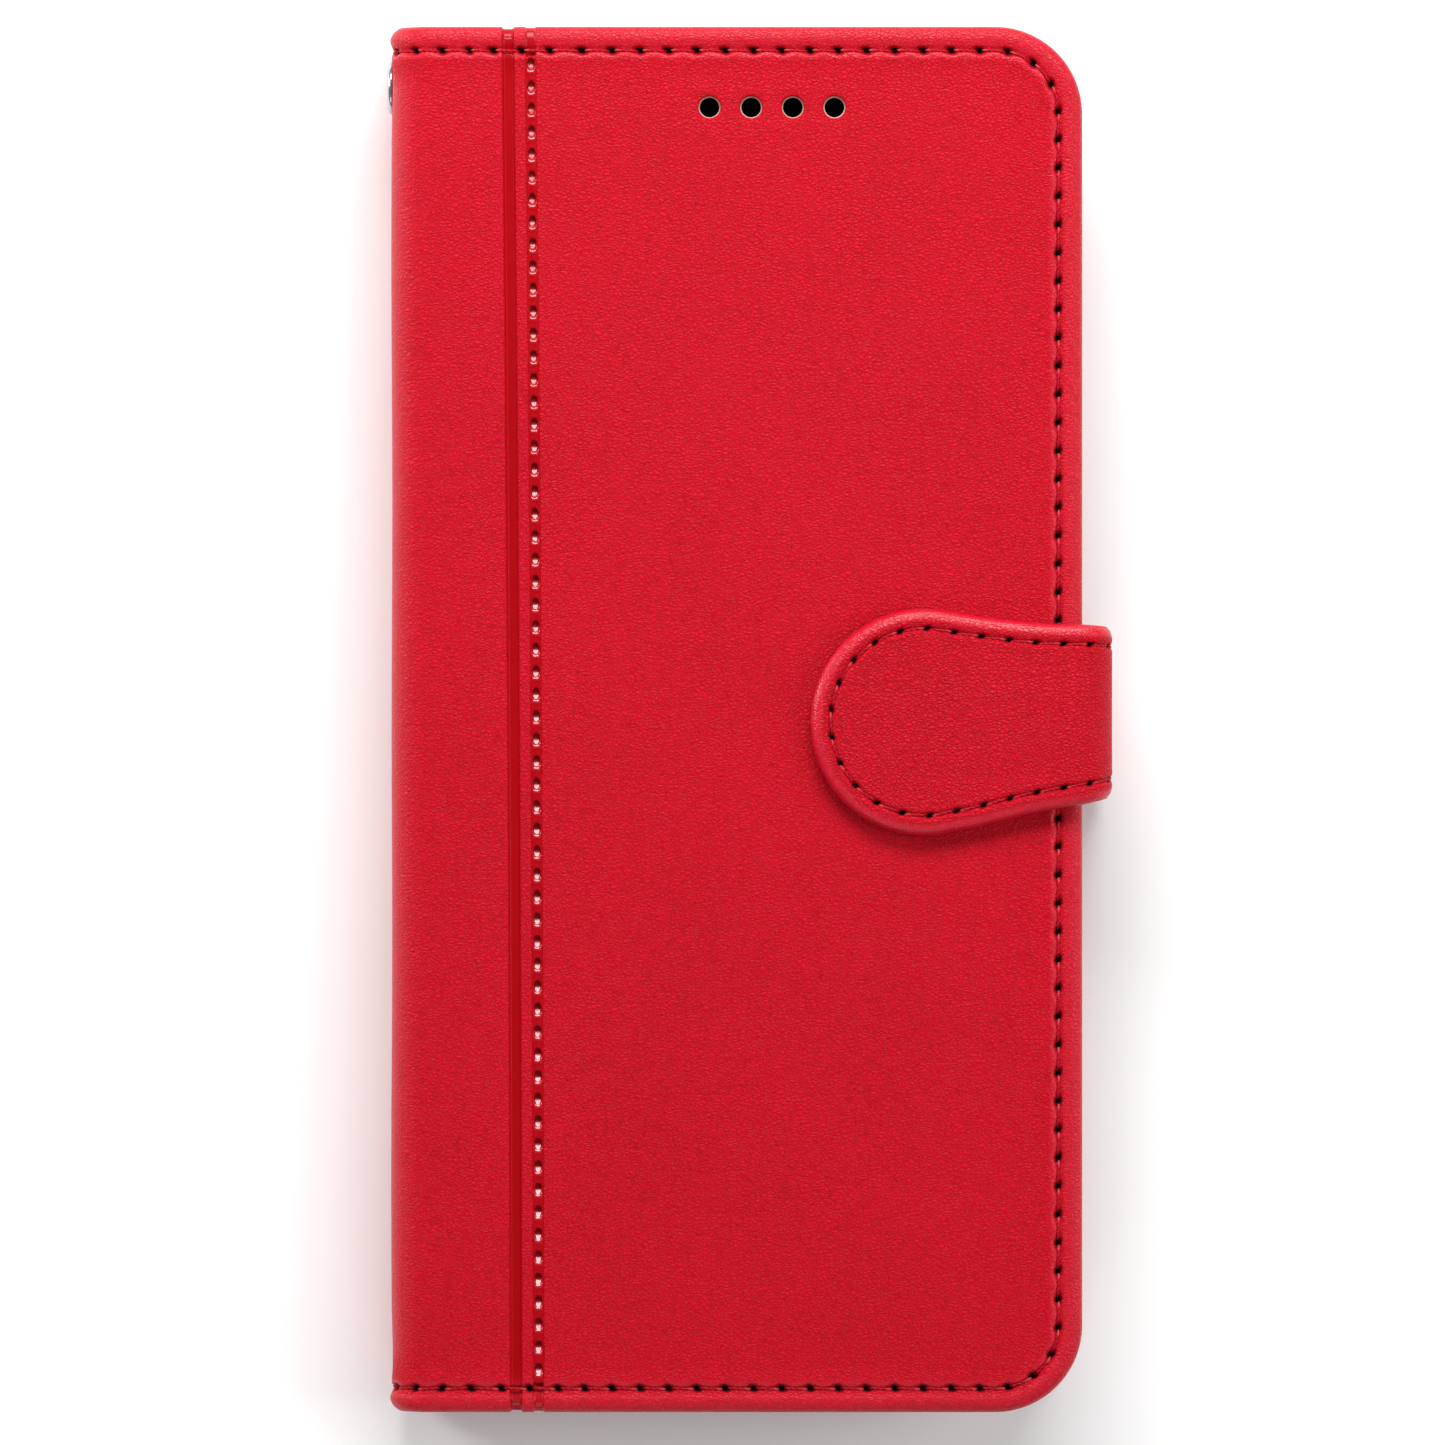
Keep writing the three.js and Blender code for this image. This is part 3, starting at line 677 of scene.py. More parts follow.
def leather(name, deep, bright, grain=2150.0, relief=0.00011, rough=0.46, coat=0.0):
    """Pebbled leather: cells between fine creases, uneven dye, smooth debossed lines, and holes darkened with
    painted shade.
    """
    s = Shader(name)
    at = s.attribute("sheet", "Vector")
    plain, painted_shade, pale = s.attribute("plain"), s.attribute("painted_shade"), s.attribute("pale")
    squash = s.node("VectorMath", {0: at, 1: (0.9, 1.12, 1.0)}, operation="MULTIPLY")[0]
    wander = s.noise(at, 900.0, 2.0, output="Color")
    shift = s.node("VectorMath", {0: wander, "Scale": 0.0007}, operation="SCALE")[0]
    moved = s.node("VectorMath", {0: squash, 1: shift}, operation="ADD")[0]
    cells = s.node("TexVoronoi", {"Scale": grain, "Vector": moved}, feature="DISTANCE_TO_EDGE")["Distance"]
    pebble = s.maths("MINIMUM", s.maths("POWER", s.times(cells, 2.3), 0.5), 1.0)
    tiny, broad, slow = s.noise(at, 3600.0, 3.0, 0.6), s.noise(at, 620.0, 2.0), s.noise(at, 45.0)
    height = s.add(s.times(pebble, 0.75), s.times(tiny, 0.3), s.times(broad, 0.35))
    # The tone mixes random dye with the grain's height, so the creases carry painted shade and the cell tops
    # painted light.
    tone = s.add(s.times(slow, 0.16), s.times(height, 0.5))
    colour = s.ramp(tone, [(0.15, tuple(c * 0.55 for c in deep)), (0.38, deep), (0.72, bright)])
    pressed = (deep[0] * 0.8, deep[1] * 0.5, deep[2] * 0.35)
    # Painted highlight: masked places are mixed towards this paler pink.
    highlight_colour = (bright[0] * 1.08, bright[1] + 0.006, bright[2] + 0.018)
    colour = s.mixed(s.times(pale, 0.3), s.mixed(plain, colour, pressed), highlight_colour)
    height = s.times(height, s.times(s.less(plain, 0.93), s.less(pale, 0.68)))
    gloss = s.add(s.times(broad, 0.2), s.times(plain, -0.1), s.times(pale, -0.15), rough - 0.1)
    inputs = {
        # Painted shade: holes and pit floors are mixed towards near black.
        "Base_Color": s.mixed(painted_shade, colour, (0.004, 0.001, 0.001)),
        "Roughness": s.add(gloss, s.times(painted_shade, 0.5)),
        "Specular_IOR_Level": s.add(s.times(pale, 0.26), 0.12),
    }
    if coat:
        inputs.update(Coat_Weight=s.times(pale, coat), Coat_Roughness=0.2)
    return s.finish(height, relief, **inputs)


def cloth(name, deep, bright):
    """Short-napped lining."""
    s = Shader(name)
    at = s.attribute("sheet", "Vector")
    fine, nap = s.noise(at, 2600.0, 4.0, 0.65), s.noise(at, 130.0)
    tone = s.add(s.times(fine, 0.5), s.times(nap, 0.5))
    colour, gloss = s.ramp(tone, [(0.35, deep), (0.68, bright)]), s.add(s.times(fine, 0.15), 0.77)
    sheen = dict(Sheen_Weight=0.1, Sheen_Roughness=0.5)
    return s.finish(fine, 0.00006, 0.8, Base_Color=colour, Roughness=gloss, **sheen)


def thread_material(name, deep, bright):
    s = Shader(name)
    wave_inputs = {"Scale": 900.0, "Distortion": 1.0, "Vector": s.attribute("sheet", "Vector")}
    wave = s.node("TexWave", wave_inputs, bands_direction="DIAGONAL")["Fac"]
    strand = s.ramp(wave, [(0.2, deep), (0.9, bright)])
    # Painted highlight: the stitch ends are mixed towards pale pink.
    colour = s.mixed(s.times(s.attribute("pale"), 0.6), strand, (0.8, 0.16, 0.15))
    return s.finish(wave, 0.00004, Base_Color=colour, Roughness=0.45, Specular_IOR_Level=0.15)


def moulded(name, deep, bright, rough=0.5, metal=0.0, relief=0.00002, spec=0.5):
    """Moulded plastic, rolled metal or raw board, with fine texture and uneven gloss."""
    s = Shader(name)
    at = s.node("TexCoord", {})["Object"]
    fine, slow = s.noise(at, 3500.0), s.noise(at, 90.0)
    colour, gloss = s.ramp(slow, [(0.35, deep), (0.7, bright)]), s.add(s.times(slow, 0.08), rough - 0.04)
    metal_or_not = dict(Metallic=metal, Specular_IOR_Level=spec)
    return s.finish(fine, relief, 0.6, Base_Color=colour, Roughness=gloss, **metal_or_not)


RED = leather("red_leather", (0.455, 0.0004, 0.009), (0.6, 0.0012, 0.02))
TAB_RED = leather("red_leather_tab", (0.455, 0.0004, 0.009), (0.6, 0.0012, 0.02), relief=0.00015)
POCKET = leather("pocket_leather", (0.36, 0.001, 0.008), (0.47, 0.003, 0.016), 2200.0, 0.00004, 0.55)
DOTS = leather("red_leather_pressed", (0.36, 0.0004, 0.004), (0.42, 0.001, 0.007), 2150.0, 0.00003, 0.3, 0.6)
LINING = cloth("red_lining", (0.26, 0.002, 0.009), (0.36, 0.005, 0.016))
THREAD = thread_material("red_thread", (0.24, 0.001, 0.006), (0.5, 0.004, 0.018))
BOARD = moulded("grey_board", (0.42, 0.36, 0.27), (0.6, 0.54, 0.43), rough=0.9, relief=0.00005)
TPU = moulded("black_tpu", (0.006, 0.006, 0.007), (0.009, 0.009, 0.01), rough=0.55, spec=0.22)
METAL = moulded("bright_metal", (0.5, 0.5, 0.49), (0.64, 0.64, 0.62), rough=0.22, metal=1.0, relief=0.000006)
STEEL = moulded("steel_plate", (0.3, 0.3, 0.31), (0.45, 0.45, 0.46), rough=0.42, metal=1.0)
MAGNET = moulded("magnet_sheet", (0.02, 0.017, 0.016), (0.035, 0.03, 0.028), rough=0.8)
GLUE = moulded("clear_adhesive", (0.6, 0.58, 0.52), (0.7, 0.68, 0.62), rough=0.4)
LEATHER_SET = [RED, LINING, BOARD]

for group, look in (
    (("back_board", "front_board", "strip_board", "spine_board"), BOARD),
    (("phone_tray",), TPU),
    (("eyelet", "eyelet_washer"), METAL),
    (("catch_plate",), STEEL),
    (("tab_magnet",), MAGNET),
    (("tray_adhesive",), GLUE),
):
    for node_name in group:
        for material_slot in nodes[node_name].material_slots:
            material_slot.material = look

# ---- the leather book ----

front, front_line = cover("front_cover_leather", front_wrap, LEATHER_SET, True)
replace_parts(front, "front_skin", "front_lining")
back, back_line = cover("back_cover_leather", back_wrap, LEATHER_SET, False)
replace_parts(back, "back_skin", "back_lining")
upper, upper_lines = fold_sheet("spine_leather_upper", front_wrap, LEATHER_SET)
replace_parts(upper, "strip_skin", "strip_lining", "strip_board", "spine_skin")
lower, lower_lines = fold_sheet("spine_leather_lower", back_wrap, LEATHER_SET)
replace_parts(lower, "spine_lining", "spine_board")

on_book = (STITCH_D + 0.05, -0.21)
front_thread = thread_mesh("front_stitches", [(*front_line, *on_book, front_warp)], front_wrap)
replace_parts(front_thread, "front_thread")
back_thread = thread_mesh("back_stitches", [(*back_line, *on_book, unbent)], back_wrap)
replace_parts(back_thread, "back_thread")
upper_thread = thread_mesh("spine_stitches_upper", [(*s, *on_book, unbent) for s in upper_lines], front_wrap)
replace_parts(upper_thread, "strip_thread_top", "strip_thread_bottom")
lower_thread = thread_mesh("spine_stitches_lower", [(*s, *on_book, unbent) for s in lower_lines], back_wrap)

# ---- the dotted line: a row of pressed pits ----


def dotted_line():
    """Pressed strip lying in the channel: each cell has a pit with a long shiny lower wall, painted shade on
    the pit's upper part and a painted highlight on that wall.
    """
    sheet = Sheet()
    half_length = HALF_H - STRIP_END
    half_row = [0.13, 0.26, 0.36, 0.44, 0.52, 0.6, 0.66, 0.72]
    across = np.array([-s for s in half_row[::-1]] + [0.0] + half_row)
    y = np.linspace(half_length, -half_length, int(2 * half_length / 0.15))[:, None]
    phase = ((half_length - 0.5 - y) / CELL_PITCH) % 1.0 * CELL_PITCH
    fade = smooth((half_length - np.abs(y) - 0.3) / 0.3)
    e = np.sqrt((across / 0.5) ** 2 + ((phase - 0.82) / 0.86) ** 2)
    bowl = smooth((1.03 - e) / 0.28) * fade
    slope = 1 - np.clip((phase - 0.72) / 0.9, 0, 1)
    bead = 0.07 * bell(phase - 1.72, 0.22) * smooth((0.5 - np.abs(across)) / 0.2) * fade
    sunk = 0.1 + 0.5 * smooth((np.abs(y) - half_length + 0.4) / 0.4)
    h = waviness(SEAM_X, y) - sunk - 0.46 * bowl * slope + bead
    # Painted shade on the upper part of each pit.
    painted_shade = bowl * smooth((0.86 - phase) / 0.3) * 0.5
    wall = smooth((phase - 0.75) / 0.2) * smooth((1.85 - phase) / 0.15)
    # Painted highlight on each pit's lower wall.
    pale = np.clip(wall * smooth((0.52 - np.abs(across)) / 0.12) * fade, 0, 1)
    u, y, h = np.broadcast_arrays(SEAM_X + across + crease_shift(y), y, h)
    rows = [sheet.add_many(np.stack([u[j], y[j], h[j]], 1), painted_shade[j], pale[j]) for j in range(len(y))]
    sheet.strips(rows)
    face = np.array(rows)
    low = [sheet.add_many([(u[j, i], y[j, i], STRIP_LOW) for j in range(len(y))]) for i in (0, -1)]
    sheet.strips([face[:, 0], *low, face[:, -1]])
    for end in (0, -1):
        sheet.cap([low[0][end], *rows[end], low[1][end]])
    return sheet.build("dotted_line", front_wrap, [DOTS])


# ---- the tab ----

TAB_U1 = TAB_ARC["x"] + TAB_ARC["r"] * math.pi / 2
TAB_STRAIGHT = TAB_TOP_Z - TAB_ARC["r"] - TAB_LOW["z"]
TAB_U2 = TAB_U1 + TAB_STRAIGHT
TAB_U3 = TAB_U2 + TAB_LOW["r"] * math.pi / 2
TAB_END, TAB_CUT = TAB_U3 + 2.7, TAB_U1 + TAB_STRAIGHT / 2
TAB_HIGH, TAB_DOWN = 11.1, -9.3


def tab_wrap(u, y, h):
    """Over the cover, round its edge, down the side and back under the case."""
    top_z = TAB_TOP_Z - TAB_ARC["r"]
    a = np.clip((u - TAB_ARC["x"]) / TAB_ARC["r"], 0, math.pi / 2)
    b = np.clip((u - TAB_U2) / TAB_LOW["r"], 0, math.pi / 2)
    r, q = TAB_ARC["r"] + h, TAB_LOW["r"] + h
    x = np.where(u < TAB_ARC["x"], u, TAB_ARC["x"] + r * np.sin(a))
    z = np.where(u > TAB_U1, top_z - (u - TAB_U1), top_z + r * np.cos(a))
    x = np.where(u > TAB_U2, TAB_LOW["x"] + q * np.cos(b), x)
    z = np.where(u > TAB_U2, TAB_LOW["z"] - q * np.sin(b), z)
    x = np.where(u > TAB_U3, TAB_LOW["x"] - (u - TAB_U3), x)
    return np.stack([x, y, z], 1)


def tab_thick(u):
    return TAB_T - 0.6 * smooth((u - 40) / 7) - 0.45 * smooth((u - 50) / 9)


# Across the tab's edge, from the lining underneath to the leather: (inset, height as a share of
# the thickness, which near the face is the thickness at the tip).
TAB_EDGE = spline(
    [
        (4.4, -1.0), (2.6, -1.0), (1.3, -0.99), (0.9, -0.93), (0.45, -0.8), (0.12, -0.66),
        (0.0, -0.52), (0.06, -0.36), (0.26, -0.2), (0.55, -0.08), (0.95, -0.01), (1.35, 0.02),
        (1.8, 0.02), (2.12, -0.04), (2.4, -0.13), (2.66, -0.04), (2.95, 0.03), (3.5, 0.03),
        (4.4, 0.03),
    ],
    2,
)
TAB_LINING_ROWS, TAB_FACE_ROW = 5, 22
TAB_BAND = TAB_EDGE[-1][0]


def evenly(points, count):
    """The same line with evenly spaced points."""
    t = lengths(points)
    s = np.linspace(0, t[-1], count)
    return np.stack([np.interp(s, t, points[:, 0]), np.interp(s, t, points[:, 1])], 1)


def tab_outline(with_tip, u_a, u_b):
    """Edge points of the tab, high side then tip then low side, and their inward directions."""
    if with_tip:
        cx, cy, r = TIP
        from_a, to_a = 1.44, 2 * math.pi - 1.32
        high = [
            (u_a, TAB_HIGH), (51, TAB_HIGH), (48, 11.12), (44.5, 11.25), (41, 11.42), (37.6, 11.5),
            (34.4, 11.75), (31, 12.13), (27.6, 12.62), (cx + r * math.cos(from_a), cy + r * math.sin(from_a)),
        ]
        low = [
            (u_a, TAB_DOWN), (51, TAB_DOWN), (48, -9.4), (44.5, -9.75), (41, -10.3), (37.6, -10.85),
            (34.4, -11.5), (31.4, -12.25), (28.5, -12.98), (cx + r * math.cos(to_a), cy + r * math.sin(to_a)),
        ]
        high, low = spline(high, 30), spline(low, 30)
        angles = np.linspace(from_a, to_a, int(r * (to_a - from_a) / FINE))[1:-1]
        tip = np.stack([cx + r * np.cos(angles), cy + r * np.sin(angles)], 1)
    else:
        high, low = np.array([(u_a, TAB_HIGH), (u_b, TAB_HIGH)]), np.array([(u_a, TAB_DOWN), (u_b, TAB_DOWN)])
        tip = np.empty((0, 2))
    n_side = int(abs(high[-1, 0] - u_a) / FINE) + 1
    p = np.vstack([evenly(high, n_side), tip, evenly(low, n_side)[::-1]])
    if with_tip:
        inward = np.gradient(p, axis=0)[:, ::-1] * (-1, 1)
    else:
        inward = np.repeat([(0.0, -1.0), (0.0, 1.0)], n_side, axis=0)
    inward[0], inward[-1] = (0, -1), (0, 1)
    return p, unit(inward), n_side


def tab_height(c, share, outer):
    """Height of the tab inside its edge band, at a share of the way to its middle."""
    if not outer:
        return -tab_thick(c[:, 0])
    dome = 0.12 * smooth(share * 1.6) * smooth((46 - c[:, 0]) / 6)
    wave = 0.03 * np.sin(c[:, 0] / 5.0 + 0.7) * np.cos(c[:, 1] / 6.0) * smooth(share * 2)
    return 0.03 * TAB_T + dome + wave


def tab_piece(name, with_tip, u_a, u_b):
    """The tab from its cut down the side to its tip, or to its root."""
    sheet = Sheet()
    p, inward, n_side = tab_outline(with_tip, u_a, u_b)
    n = len(p)
    jump = None if with_tip else n_side - 1
    t = lengths(p + inward * TAB_STITCH_D, jump)
    if with_tip:
        count = round((t[-1] - TAB_PITCH) / TAB_PITCH)
        centres = TAB_PITCH / 2 + (t[-1] - TAB_PITCH) * np.arange(count + 1) / count
    else:
        one_side = np.arange(TAB_PITCH / 2, t[jump] - 3.2, TAB_PITCH)
        centres = np.concatenate([one_side, 2 * t[jump] - one_side[::-1]])
    along = from_nearest(t, centres)
    phase = np.cos(2 * math.pi * np.clip(along / TAB_PITCH, -0.5, 0.5))
    band = []
    for i, (d, h) in enumerate(TAB_EDGE):
        c = p + inward * d
        height = np.where(h < -0.2, tab_thick(c[:, 0]), TAB_T) * h
        hole_shade = 0.0
        if i > TAB_FACE_ROW and 1.6 < d < 3.3:
            # The needle's second value is painted shade that darkens the hole.
            pit, hole_shade = needle(along, d - TAB_STITCH_D, 0.82)
            height = height + pit * 0.7 - 0.06 * bell(d - TAB_STITCH_D, 0.4) * phase
        # Painted highlight along the tab's rounded edge.
        pale = smooth((1.5 - d) / 0.5) * (i >= TAB_LINING_ROWS)
        band.append(sheet.add_many(np.column_stack([c, height]), hole_shade, pale))
    edge = p + inward * TAB_BAND
    middle = (edge[:n_side] + edge[::-1][:n_side]) / 2
    j = np.arange(n)
    nearest = np.minimum(np.minimum(j, n - 1 - j), n_side - 1)
    inner_rows = {}
    for outer, steps in ((True, 11), (False, 3)):
        rows = []
        for share in np.arange(1, steps) / steps:
            c = edge + (middle[nearest] - edge) * share
            rows.append(sheet.add_many(np.column_stack([c, tab_height(c, share, outer)])))
        ends = sheet.add_many(np.column_stack([middle, tab_height(middle, 1.0, outer)]))
        inner_rows[outer] = rows + [[ends[k] for k in nearest]]
    rows = np.array(inner_rows[False][::-1] + band + inner_rows[True])
    sheet.strips(rows, len(inner_rows[False]) + TAB_LINING_ROWS, jump)
    for high_end, low_end in ((0, n - 1),) if with_tip else ((0, n - 1), (n_side - 1, n_side)):
        sheet.cap([*rows[:, high_end], *rows[-2:0:-1, low_end]])
    centre_r = 20.0
    line = np.column_stack([p + inward * centre_r, -inward, np.full(n, centre_r)])
    return sheet.build(name, tab_wrap, [TAB_RED, LINING, BOARD]), (line, t, centres)


flap, flap_line = tab_piece("tab_flap_leather", True, TAB_CUT, 0)
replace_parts(flap, "tab_flap_skin", "tab_flap_lining", "tab_side_skin")
strap, strap_line = tab_piece("tab_strap_leather", False, TAB_CUT, TAB_END)
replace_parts(strap, "tab_root", "tab_side_lining")
on_tab = (TAB_STITCH_D + 0.03, -0.2)
tab_thread = thread_mesh("tab_stitches", [(*flap_line, *on_tab, unbent)], tab_wrap)
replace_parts(tab_thread, "tab_thread")
strap_seams = [(*strap_line[:2], half, *on_tab, unbent) for half in np.split(strap_line[2], 2)]
strap_thread = thread_mesh("tab_strap_stitches", strap_seams, tab_wrap)
dots = dotted_line()

# ---- the phone tray ----


def moulded_copy(name, node, width):
    """A copy of a CAD piece with its sharp edges rounded over, as a moulding has them."""
    mesh = nodes[node].data.copy()
    mesh.name = name
    bm = bmesh.new()
    bm.from_mesh(mesh)
    bmesh.ops.remove_doubles(bm, verts=bm.verts, dist=1e-6)
    bmesh.ops.dissolve_limit(bm, angle_limit=math.radians(1.0), verts=bm.verts, edges=bm.edges)
    sharp = [e for e in bm.edges if len(e.link_faces) == 2 and e.calc_face_angle(0) > math.radians(40)]
    bevel = dict(offset=width * MM, segments=3, profile=0.5, affect="EDGES", clamp_overlap=True)
    bmesh.ops.bevel(bm, geom=sharp, **bevel)
    bmesh.ops.triangulate(bm, faces=bm.faces)
    bm.to_mesh(mesh)
    bm.free()
    mesh.materials.clear()
    mesh.materials.append(TPU)
    mesh.set_sharp_from_angle(angle=math.radians(28))
    return in_scene(name, mesh)


tray = moulded_copy("phone_tray_moulding", "phone_tray", 0.22)
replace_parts(tray, "phone_tray")

# ---- the eyelet ----


def lathe(name, profile, sides=96):
    """Closed ring turned about the eyelet's axis: profile holds (height off the spine, radius)."""
    x, r = np.array(profile).T
    a = 2 * math.pi * np.arange(sides)[:, None] / sides
    points = np.stack(np.broadcast_arrays(-x, r * np.cos(a), r * np.sin(a)), 2) + EYELET
    ids = np.arange(sides * len(x)).reshape(sides, -1)
    after, across = np.roll(ids, -1, 0), np.roll(ids, -1, 1)
    faces = np.stack([ids, across, np.roll(after, -1, 1), after], 2).reshape(-1, 4).tolist()
    return mesh_object(name, points.reshape(-1, 3), faces, [METAL])


flange = spline(
    [
        (-0.05, 3.1), (0.16, 3.24), (0.42, 3.22), (0.66, 3.0), (0.8, 2.62), (0.84, 2.28),
        (0.76, 1.95), (0.5, 1.66), (0.1, 1.5), (-0.6, 1.44), (-2.2, 1.44),
    ],
    4,
)
barrel = [(-2.2, 1.62), (-0.9, 1.62), (-0.35, 1.64), (-0.12, 1.8), (-0.08, 2.4)]
eyelet = lathe("eyelet_flange", [*flange, *barrel])
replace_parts(eyelet, "eyelet")
rolled = [(-1.95, 2.9), (-2.0, 3.05), (-2.2, 3.05), (-2.38, 2.8), (-2.44, 2.3), (-2.4, 1.9), (-2.2, 1.64)]
washer = lathe("eyelet_back_ring", [*spline(rolled, 4), (-1.95, 1.64)])
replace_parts(washer, "eyelet_washer")


def pierce(obj, where, radius, depth):
    """Cuts the eyelet's hole through the leather, along X."""
    mesh = bpy.data.meshes.new("cutter")
    bm = bmesh.new()
    cone = dict(radius1=radius * MM, radius2=radius * MM, depth=depth * MM)
    bmesh.ops.create_cone(bm, cap_ends=True, segments=48, **cone)
    bm.to_mesh(mesh)
    bm.free()
    cutter = in_scene("cutter", mesh)
    cutter.location = [c * MM for c in where]
    cutter.rotation_euler = (0, math.pi / 2, 0)
    cut = obj.modifiers.new("hole", "BOOLEAN")
    cut.operation = "DIFFERENCE"
    cut.solver = "MANIFOLD"
    cut.object = cutter
    bpy.context.view_layer.update()
    pierced = bpy.data.meshes.new_from_object(obj.evaluated_get(bpy.context.evaluated_depsgraph_get()))
    obj.modifiers.clear()
    pierced.name = obj.data.name
    obj.data = pierced
    bpy.data.objects.remove(cutter)
    bpy.data.meshes.remove(mesh)


for piece in (upper, lower):
    pierce(piece, (EYELET[0] + 1.0, *EYELET[1:]), EYELET_CUT_R, EYELET_CUT_DEPTH)

# ---- the pockets inside the front cover ----

POCKET_R, POCKET_STITCH_D, POCKET_PITCH, POCKET_STEP = 4.2, 1.7, 2.6, 0.45
POCKET_EDGE = [
    (3.0, -1.0), (0.6, -1.0), (0.16, -0.86), (0.0, -0.5), (0.14, -0.14), (0.45, 0.0), (0.9, 0.04),
    (1.35, 0.0), (1.55, -0.16), (1.7, -0.24), (1.85, -0.16), (2.1, 0.0), (2.5, 0.03), (3.0, 0.0),
]


def pocket_columns(x0, x1, y0, y1):
    """Columns round a pocket's edge, as for a cover's."""
    r = POCKET_R
    left, right, low, high = x0 + r, x1 - r, y0 + r, y1 - r
    cols = []
    for cx, cy, nx, ny in ((right, low, 1, 0), (right, high, 0, 1), (left, high, -1, 0), (left, low, 0, -1)):
        start = math.atan2(ny, nx) - math.pi / 2
        cols += [(cx, cy, math.cos(a), math.sin(a), r) for a in start + np.linspace(0, math.pi / 2, 12)]
        size = high - low if nx else right - left
        count = int(size / POCKET_STEP)
        cols += [(cx - f * ny, cy + f * nx, nx, ny, r) for f in np.arange(1, count) / count * size]
    return np.array(cols, float)


def pocket_panel(name, x0, x1, y0, y1, z_face, thick, mouth_hem):
    """A folded and stitched panel lying on the cover's lining, its face turned down (-Z)."""
    sheet = Sheet()
    cols = pocket_columns(x0, x1, y0, y1)
    cx, cy, nx, ny, r = cols.T
    t = lengths(np.stack([cx + nx * (r - POCKET_STITCH_D), cy + ny * (r - POCKET_STITCH_D)], 1))
    centres = 0.5 + POCKET_PITCH * np.arange(int(t[-1] / POCKET_PITCH))
    centres = centres[at_length(cols, t, POCKET_STITCH_D, centres)[0] > x0 + 2.4]
    along = from_nearest(t, centres)
    mouth = smooth((-nx - 0.5) / 0.4)
    loops = []
    for i, (d, h) in enumerate(POCKET_EDGE):
        # The needle's second value is painted shade that darkens the hole.
        pit, hole_shade = needle(along, d - POCKET_STITCH_D, 0.55) if 1.3 < d < 2.2 and i > 4 else (0, 0.0)
        height = h * thick + pit * 0.25 * thick + mouth * mouth_hem * (h > -0.5)
        uyh = np.stack([cx + nx * (r - d), cy + ny * (r - d), height], 1)
        # Painted highlight along the pocket's folded edge.
        loops.append(sheet.add_many(uyh, hole_shade, 0.6 * smooth((0.9 - d) / 0.5) * (i > 3)))
    for a, b in zip(loops, loops[1:]):
        sheet.ring(a, b)
    half = min(x1 - x0, y1 - y0) / 2
    for outer in (True, False):
        loop = loops[-1 if outer else 0]
        q = np.array([sheet.points[k][:2] for k in loop])
        middle = np.clip(q, (x0 + half, y0 + half), (x1 - half, y1 - half))
        h = 0.0 if outer else -thick
        for share in (0.12, 0.3, 0.5, 0.75) if outer else (0.5,):
            inner = sheet.add_many([(*c, h) for c in q + (middle - q) * share])
            sheet.ring(loop, inner)
            loop = inner
        made = {}
        for c in middle:
            key = tuple(np.round(c, 3))
            if key not in made:
                made[key] = sheet.add(*c, h)
        sheet.ring(loop, [made[tuple(np.round(c, 3))] for c in middle])

    def wrap(u, y, h):
        return np.stack([u, y, z_face - h], 1)

    panel = sheet.build(name, wrap, [POCKET])
    groups = np.split(centres, np.where(np.diff(centres) > 3.0)[0] + 1)
    seams = [(cols, t, group, POCKET_STITCH_D, -0.12, unbent) for group in groups]
    stitches = thread_mesh(name + "_stitches", seams, wrap)
    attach(panel, "front_cover")
    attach(stitches, "front_cover")
    return panel


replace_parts(pocket_panel("cash_pocket_panel", -19.0, 37.2, -79.0, 69.5, 14.49, 0.43, 0.0), "cash_pocket")
for number, (mouth_x, face_z) in enumerate(((-9.0, 14.09), (3.0, 13.69), (15.0, 13.29))):
    card_pocket = pocket_panel(f"card_pocket_{number + 1}", mouth_x, 36.0, -46.0, 46.0, face_z, 0.33, 0.12)
    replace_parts(card_pocket, f"card_panel_{number + 1}")

# ---- camera, floor and light ----

camera = in_scene("camera", bpy.data.cameras.new("camera"))
camera.location = (-1.74 * MM, -0.36 * MM, (CLOSED_T + 1000) * MM)
camera.data.lens = 207.6
camera.data.sensor_width = 36.0
camera.data.clip_start = 0.05
scene.camera = camera
scene.view_settings.view_transform = "Standard"


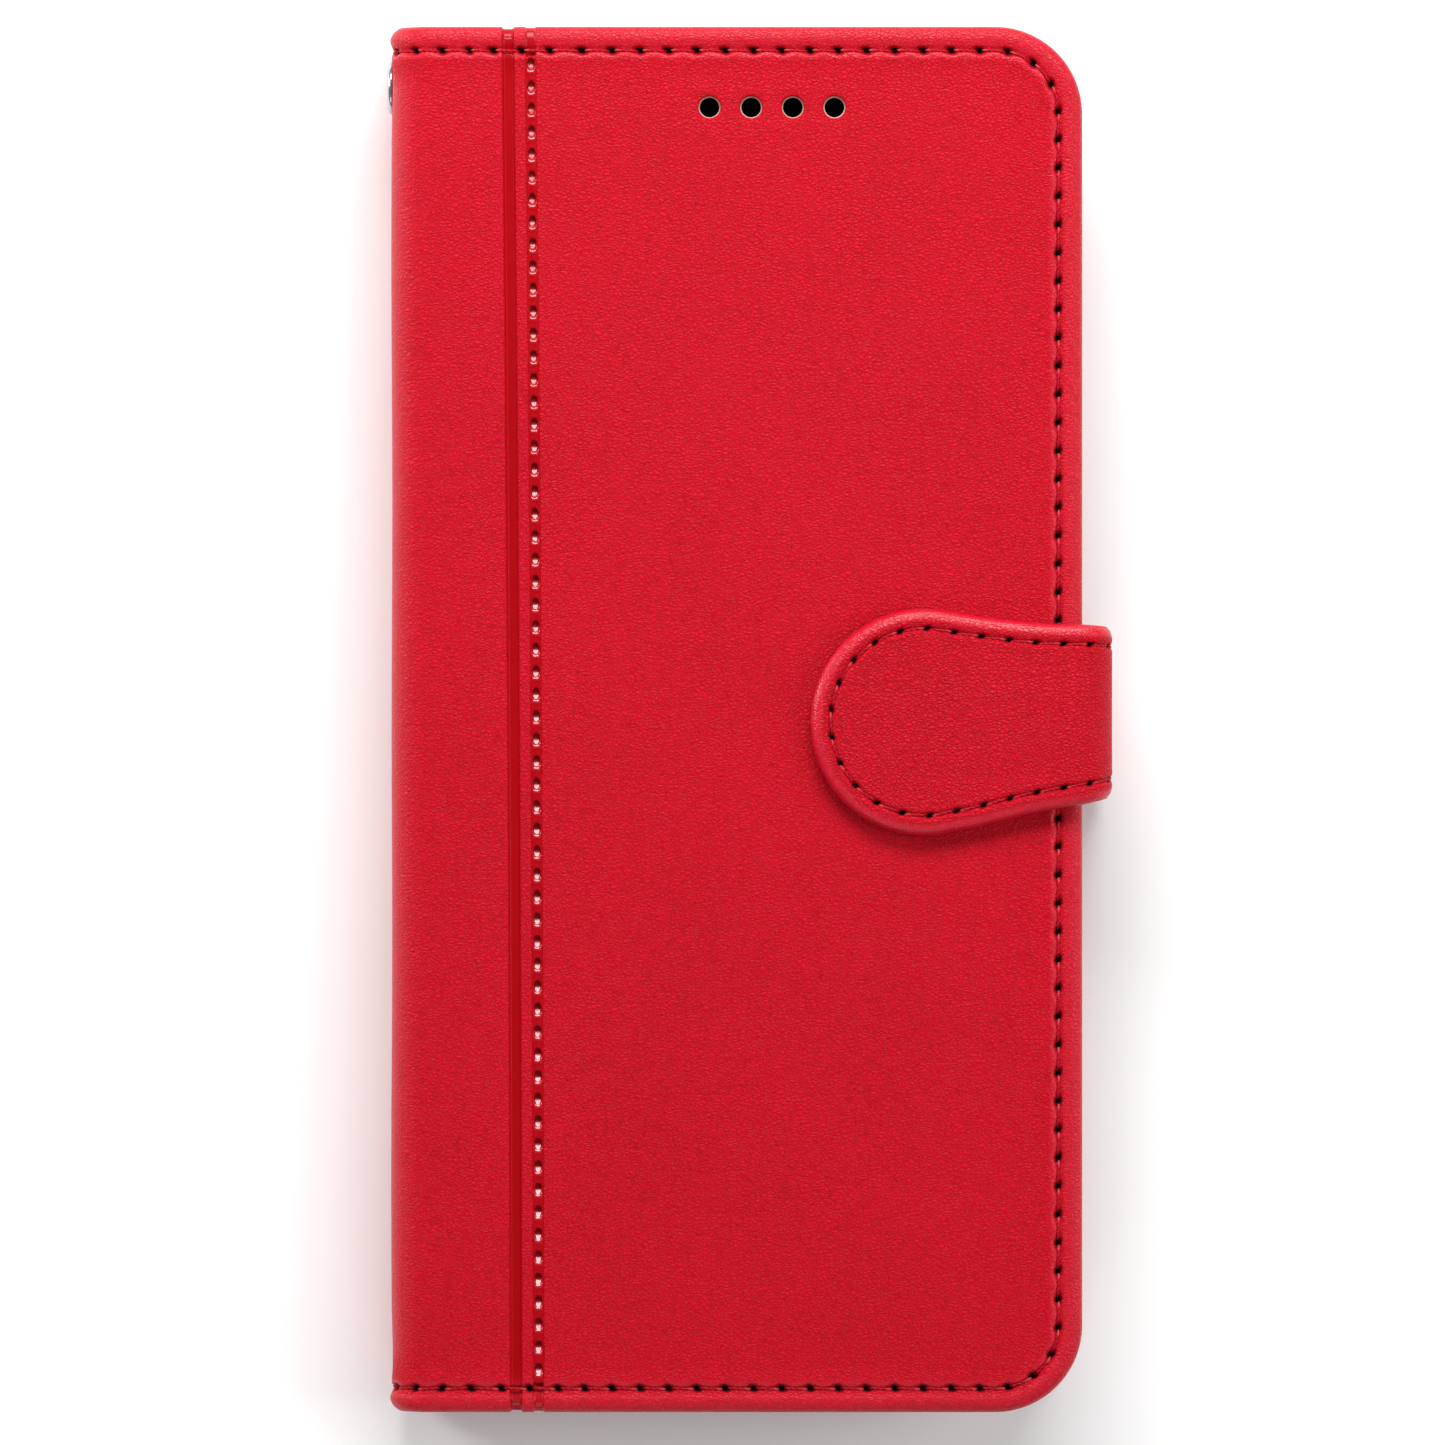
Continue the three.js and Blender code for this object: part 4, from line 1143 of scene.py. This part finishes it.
def area(name, where, size, power):
    """A rectangular lamp aimed at the middle of the case."""
    lamp = bpy.data.lights.new(name, "AREA")
    lamp.shape = "RECTANGLE"
    lamp.size, lamp.size_y = size
    lamp.energy = power
    holder = in_scene(name, lamp)
    holder.location = where
    holder.rotation_euler = (-Vector(where)).to_track_quat("-Z", "Y").to_euler()


area("key", (0.03, 0.45, 0.38), (0.46, 0.2), 4.1)
area("fill_left", (-0.55, 0.22, 0.16), (0.16, 0.5), 2.7)
area("fill_right", (0.6, 0.0, 0.42), (0.3, 0.6), 2.3)
area("fill_front", (-0.1, -0.6, 0.42), (0.6, 0.3), 1.0)

floor_mesh = bpy.data.meshes.new("floor")
floor_mesh.from_pydata([(-3, -3, 0), (3, -3, 0), (3, 3, 0), (-3, 3, 0)], [], [(0, 1, 2, 3)])
floor = in_scene("floor", floor_mesh)
floor.location.z = -0.0003
pale_floor = Shader("floor")
pale_floor.put(pale_floor.bsdf.inputs["Base Color"], (0.93, 0.93, 0.93))
pale_floor.put(pale_floor.bsdf.inputs["Roughness"], 0.9)
floor_mesh.materials.append(pale_floor.material)

world = bpy.data.worlds.new("studio")
scene.world = world
world.use_nodes = True
background = world.node_tree.nodes["Background"]
background.inputs["Color"].default_value = (1, 1, 1, 1)
background.inputs["Strength"].default_value = 0.25

# ---- which body each piece follows ----

for body, pieces in (
    ("back_cover", (back, back_thread, tray)),
    ("front_cover", (dots,)),
    ("spine", (eyelet, washer)),
):
    for piece in pieces:
        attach(piece, body)
# Each fold: the pieces across it, its two bodies, and the (x, z) where its bend starts and ends. The loop
# only bakes each piece's transform; the bodies and bend positions are not used here.
for pieces, body_a, body_b, (x0, z0), (x1, z1) in (
    ((front, front_thread), "hinge_strip", "front_cover", (-28.6, 18.0), (-25.0, 18.0)),
    ((upper, upper_thread), "spine", "hinge_strip", (-41.5, 13.5), (-37.0, 18.0)),
    ((flap, tab_thread), "tab_strap", "tab_flap", (45.0, 17.2), (41.2, 20.6)),
    ((strap, strap_thread), "back_cover", "tab_strap", (41.9, 0.6), (45.0, 3.8)),
    ((lower, lower_thread), "back_cover", "spine", (-37.0, 0.0), (-41.5, 4.5)),
):
    for piece in pieces:
        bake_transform(piece)
